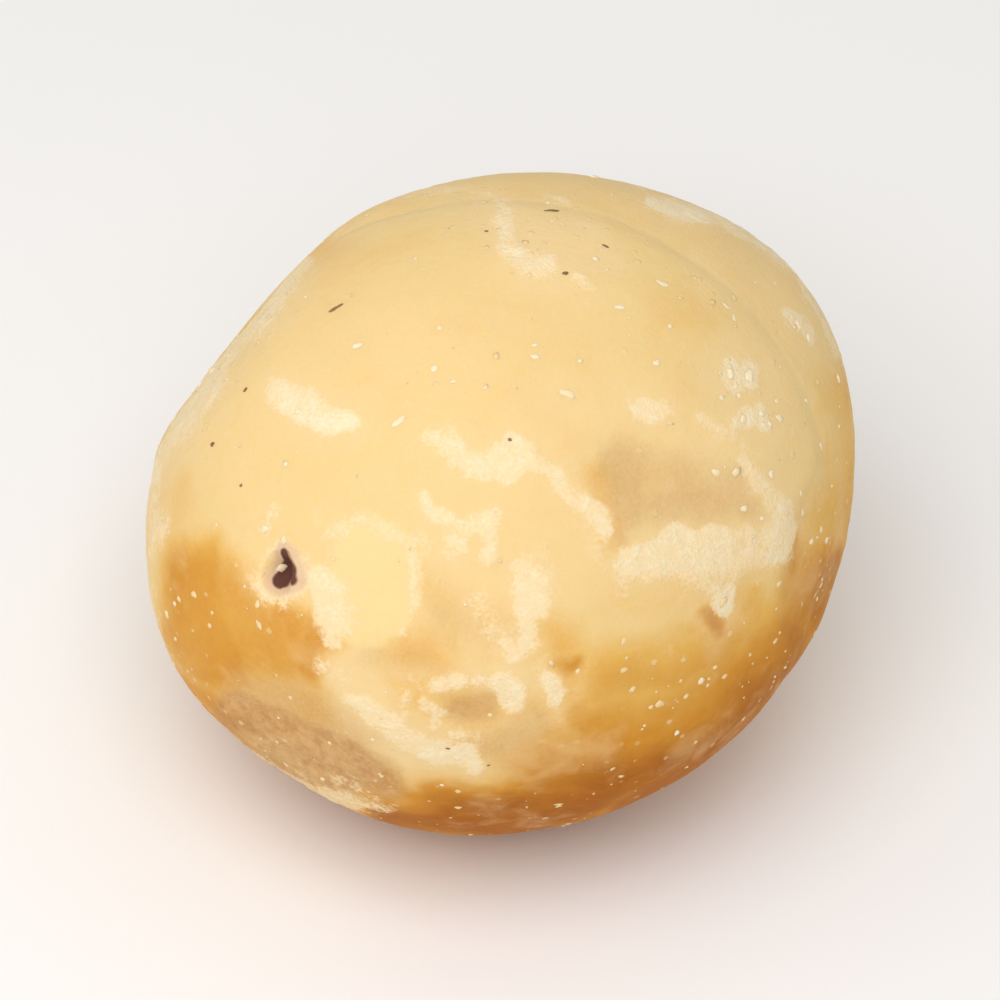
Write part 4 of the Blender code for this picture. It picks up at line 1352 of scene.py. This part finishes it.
@dataclass(frozen=True)
class GrainKind:
    """One kind of bit stuck to the skin: how many there are, and their sizes and shapes.

    Flatness and lengthening are shares of half a bit's width, and sunk is a share of half its height.
    """

    name: str
    finish: GrainFinish
    seed: int
    count: int
    half_sizes: tuple[float, float]
    flatness: tuple[float, float]
    lengthening: tuple[float, float]
    sunk: float
    unevenness: float = 0.20
    flecks: tuple[Fleck, ...] = ()
    fleck_flatness: float = 0.42
    faces: tuple[Face, ...] = (Face.SEEN, Face.FAR)
    slot: str = "salt_crumbs"


@dataclass
class Grains:
    """Small bits of one kind, stuck to the skin: one mesh of many lumps, each sunk some way in."""

    kind: GrainKind
    skin: bpy.types.Object
    middle: Vector
    eye: Eye
    least_height: float = 0.35
    bare_share: float = 0.15
    smallness: float = 2.2
    swells: float = 1.6
    seed_reach: float = 50.0

    def __post_init__(self) -> None:
        """Readies the seeded draw and the search for the skin's surface."""
        self.draw = random.Random(self.kind.seed)
        self.tree = BVHTree.FromObject(self.skin, bpy.context.evaluated_depsgraph_get())
        self.dust = np.empty(len(self.skin.data.vertices), np.float32)
        self.skin.data.attributes[Mark.DUST.value].data.foreach_get("value", self.dust)

    def settle(self, direction: Vector) -> tuple[Vector, Vector, float] | None:
        """Finds the skin in a direction from the kernel's middle.

        Args:
            direction: A unit direction.

        Returns:
            The place, the outward normal and the dust there, or None low down near the floor.
        """
        place, normal, index, _ = self.tree.ray_cast(self.middle, direction)
        if place is None or place.z < self.least_height * MM:
            return None
        face = Face.SEEN if normal.dot(self.eye.toward) > 0 else Face.FAR
        if face not in self.kind.faces:
            return None
        corner = self.skin.data.polygons[index].vertices[0]
        return place, normal, float(self.dust[corner])

    def any_direction(self) -> Vector:
        """Draws a direction evenly over the sphere.

        Returns:
            A unit direction.
        """
        height = self.draw.uniform(-1, 1)
        turn = self.draw.uniform(0, 2 * math.pi)
        flat = math.sqrt(1 - height * height)
        return Vector((flat * math.cos(turn), flat * math.sin(turn), height))

    def find_seen(self, across: float, up: float) -> tuple[Vector, Vector]:
        """Finds the skin where the photograph's eye sees this place.

        Args:
            across: Millimetres across.
            up: Millimetres up.

        Returns:
            The place and the outward normal, on the outline if the place is off it.
        """
        offset = self.eye.right * across + self.eye.up * up
        start = self.middle + (offset + self.eye.toward * 2 * MEAN_RADIUS) * MM
        place, normal, _, _ = self.tree.ray_cast(start, -self.eye.toward)
        if place is None:
            place, normal, _, _ = self.tree.find_nearest(self.middle + offset * MM)
        return place, normal

    def add_lump(
        self, shape: bmesh.types.BMesh, place: Vector, lie: Quaternion, halves: Point, fineness: int
    ) -> None:
        """Adds one uneven lump, sunk part of the way into the skin.

        Args:
            shape: The mesh that it joins.
            place: A point of the skin.
            lie: The turn that takes z to the skin's normal and x to the lump's length.
            halves: Half its length, width and height in millimetres.
            fineness: How often its icosahedron is split.
        """
        centre = place - lie @ Vector((0, 0, halves[2] * self.kind.sunk * MM))
        size = Matrix.Diagonal((*(half * MM for half in halves), 1))
        matrix = Matrix.Translation(centre) @ lie.to_matrix().to_4x4() @ size
        made = bmesh.ops.create_icosphere(shape, subdivisions=fineness, radius=1, matrix=matrix)
        reach = self.seed_reach
        seed = Vector((self.draw.uniform(-reach, reach), self.draw.uniform(-reach, reach), 0))
        for vert in made["verts"]:
            away = vert.co - centre
            swell = noise.noise(away / (max(halves) * MM) * self.swells + seed)
            vert.co = centre + away * (1 + 2 * swell * self.kind.unevenness)

    def scatter(self, shape: bmesh.types.BMesh) -> None:
        """Adds the small lumps, thicker where the dust is.

        Args:
            shape: The mesh that they join.
        """
        placed = 0
        while placed < self.kind.count:
            found = self.settle(self.any_direction())
            if found is None:
                continue
            place, normal, dust = found
            if self.draw.random() > self.bare_share + dust:
                continue
            smallest, largest = self.kind.half_sizes
            half = smallest + (largest - smallest) * self.draw.random() ** self.smallness
            long = half * self.draw.uniform(*self.kind.lengthening)
            high = half * self.draw.uniform(*self.kind.flatness)
            spin = Quaternion(normal, self.draw.uniform(0, 2 * math.pi))
            lie = spin @ normal.to_track_quat("Z", "Y")
            self.add_lump(shape, place, lie, (long, half, high), fineness=1)
            placed += 1

    def set_flecks(self, shape: bmesh.types.BMesh) -> None:
        """Adds the larger bits, each in its own place on the seen face.

        Args:
            shape: The mesh that they join.
        """
        for fleck in self.kind.flecks:
            place, normal = self.find_seen(fleck.across, fleck.up)
            turn = math.radians(fleck.turn)
            along = self.eye.right * math.cos(turn) + self.eye.up * math.sin(turn)
            along = (along - normal * along.dot(normal)).normalized()
            side = normal.cross(along)
            lie = Matrix((along, side, normal)).transposed().to_quaternion()
            high = self.kind.fleck_flatness * min(fleck.half_length, fleck.half_width)
            halves = (fleck.half_length, fleck.half_width, high)
            self.add_lump(shape, place, lie, halves, fineness=2)

    def build(self) -> bpy.types.Object:
        """Makes all the lumps.

        Returns:
            The new object.
        """
        shape = bmesh.new()
        self.scatter(shape)
        self.set_flecks(shape)
        mesh = bpy.data.meshes.new(self.kind.name)
        shape.to_mesh(mesh)
        shape.free()
        mesh.shade_smooth()
        grains = bpy.data.objects.new(self.kind.name, mesh)
        bpy.context.scene.collection.objects.link(grains)
        return grains


# The kinds of bits that are stuck to the skin
NUT_CRUMBS = GrainKind(
    name="nut_crumbs",
    finish=GrainFinish("crumb", Tone.BRIGHT_CHALK, Tone.CHALK, roughness=0.8, scatter=0.15),
    seed=11,
    count=40,
    half_sizes=(0.06, 0.15),
    flatness=(0.4, 0.6),
    lengthening=(1.0, 1.5),
    sunk=0.30,
    unevenness=0.34,
    flecks=CRUMB_FLECKS,
    fleck_flatness=0.38,
)
FINE_CRUMBS = GrainKind(
    name="fine_crumbs",
    finish=GrainFinish("fine_crumb", Tone.DUST, Tone.CRUMB, roughness=0.75, scatter=0.15),
    seed=17,
    count=360,
    half_sizes=(0.03, 0.11),
    flatness=(0.3, 0.65),
    lengthening=(1.0, 1.5),
    sunk=0.35,
    unevenness=0.30,
    flecks=DULL_FLECKS,
    fleck_flatness=0.38,
)
SALT_GRAINS = GrainKind(
    name="salt_grains",
    finish=GrainFinish("salt", Tone.SALT, Tone.DUST, roughness=0.40, scatter=0.3),
    seed=23,
    count=110,
    half_sizes=(0.03, 0.07),
    flatness=(0.7, 1.0),
    lengthening=(1.0, 1.3),
    sunk=0.30,
    unevenness=0.12,
)
BRAN_FLAKES = GrainKind(
    name="bran_flakes",
    finish=GrainFinish("bran", Tone.BRAN, Tone.OLIVE_BRAN, roughness=0.7, scatter=0.0),
    seed=5,
    count=7,
    half_sizes=(0.03, 0.07),
    flatness=(0.3, 0.5),
    lengthening=(1.0, 2.2),
    sunk=0.4,
    flecks=BRAN_FLECKS,
    fleck_flatness=0.35,
    faces=(Face.FAR,),
    slot="kernel",
)
OLIVE_FLAKES = replace(
    BRAN_FLAKES,
    name="olive_flakes",
    finish=GrainFinish("olive_bran", Tone.OLIVE_BRAN, Tone.BRAN, roughness=0.6, scatter=0.0),
    seed=6,
    flecks=OLIVE_FLECKS,
)


@dataclass
class Studio:
    """The pale floor, the soft lights and the camera."""

    eye: Eye
    target: Vector
    frame_width: float = 26.5
    lens: float = 400.0
    clip_span: float = 100.0
    floor_size: float = 1500.0
    world_strength: float = 0.565
    world_colour: Colour = (1.0, 0.975, 0.935)
    floor_roughness: float = 0.9
    key_power: float = 0.121
    key_size: float = 110.0
    key_place: Point = (-16.0, -70.0, 135.0)
    side_power: float = 0.0165
    side_size: float = 80.0
    side_place: Point = (-112.0, -20.0, 66.0)
    side_colour: Colour = (1.0, 0.86, 0.70)

    def floor(self) -> bpy.types.Object:
        """A wide level floor under the kernel.

        Returns:
            The floor's object.
        """
        shape = bmesh.new()
        bmesh.ops.create_grid(shape, x_segments=1, y_segments=1, size=self.floor_size * MM / 2)
        mesh = bpy.data.meshes.new("floor")
        shape.to_mesh(mesh)
        shape.free()
        bench = Bench("floor_paint")
        finish = {"Base Color": (*Tone.FLOOR.value, 1), "Roughness": self.floor_roughness}
        bench.feed(bench.shader, finish)
        mesh.materials.append(bench.material)
        floor = bpy.data.objects.new("floor", mesh)
        bpy.context.scene.collection.objects.link(floor)
        return floor

    def light(
        self, name: str, power: float, size: float, place: Point, colour: Colour = (1.0, 1.0, 1.0)
    ) -> None:
        """A square soft light that points at the kernel and doesn't show itself.

        Args:
            name: The light's name.
            power: Its power in watts.
            size: Its side in millimetres.
            place: Where it hangs, in millimetres.
            colour: Its colour.
        """
        data = bpy.data.lights.new(name, "AREA")
        data.energy = power
        data.color = colour
        data.size = size * MM
        lamp = bpy.data.objects.new(name, data)
        lamp.location = Vector(place) * MM
        lamp.rotation_euler = (lamp.location - self.target).to_track_quat("Z", "Y").to_euler()
        lamp.visible_camera = False
        bpy.context.scene.collection.objects.link(lamp)

    def camera(self) -> None:
        """The camera, on the photograph's line of sight."""
        data = bpy.data.cameras.new("camera")
        data.lens = self.lens
        distance = self.frame_width * MM * self.lens / data.sensor_width
        camera = bpy.data.objects.new("camera", data)
        camera.location = self.target + self.eye.toward * distance
        camera.rotation_euler = self.eye.toward.to_track_quat("Z", "Y").to_euler()
        data.clip_start = distance / self.clip_span
        data.clip_end = distance * self.clip_span
        bpy.context.scene.collection.objects.link(camera)
        bpy.context.scene.camera = camera

    def build(self) -> None:
        """Sets up all of it."""
        scene = bpy.context.scene
        scene.view_settings.view_transform = "Standard"
        world = bpy.data.worlds.new("soft_white")
        world.use_nodes = True
        sky = world.node_tree.nodes["Background"]
        sky.inputs["Color"].default_value = (*self.world_colour, 1)
        sky.inputs["Strength"].default_value = self.world_strength
        scene.world = world
        self.floor()
        self.light("key", self.key_power, self.key_size, self.key_place)
        self.light("side", self.side_power, self.side_size, self.side_place, self.side_colour)
        self.camera()


@dataclass
class Kernel:
    """The whole kernel: its skin, and what is stuck to it."""

    solid: bpy.types.Object
    eye: Eye
    middle: Vector

    def keep(self, piece: bpy.types.Object, material: bpy.types.Material) -> None:
        """Gives a piece its finish and ties it to the kernel's body.

        Args:
            piece: The piece.
            material: Its finish.
        """
        piece.data.materials.append(material)
        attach(piece, "root")
        LOG.info("%s: %d faces", piece.name, len(piece.data.polygons))

    def build(self) -> None:
        """Makes every piece."""
        skin = Skin(self.solid, self.eye, self.middle).build()
        self.keep(skin, FleshFinish().material())
        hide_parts("kernel")
        for kind in (NUT_CRUMBS, FINE_CRUMBS, SALT_GRAINS, BRAN_FLAKES, OLIVE_FLAKES):
            piece = Grains(kind, skin, self.middle, self.eye).build()
            self.keep(piece, kind.finish.material())


def main() -> None:
    """Builds the kernel and the studio, in order."""
    logging.basicConfig(level=logging.INFO, format="%(name)s: %(message)s")
    eye = Eye()
    low, high = SOLID_BOX
    middle = (low + high) / 2
    middle.z = MIDDLE_HEIGHT * MM
    Kernel(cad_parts["kernel"], eye, middle).build()
    Studio(eye, target=middle).build()


if __name__ == "__main__":
    main()
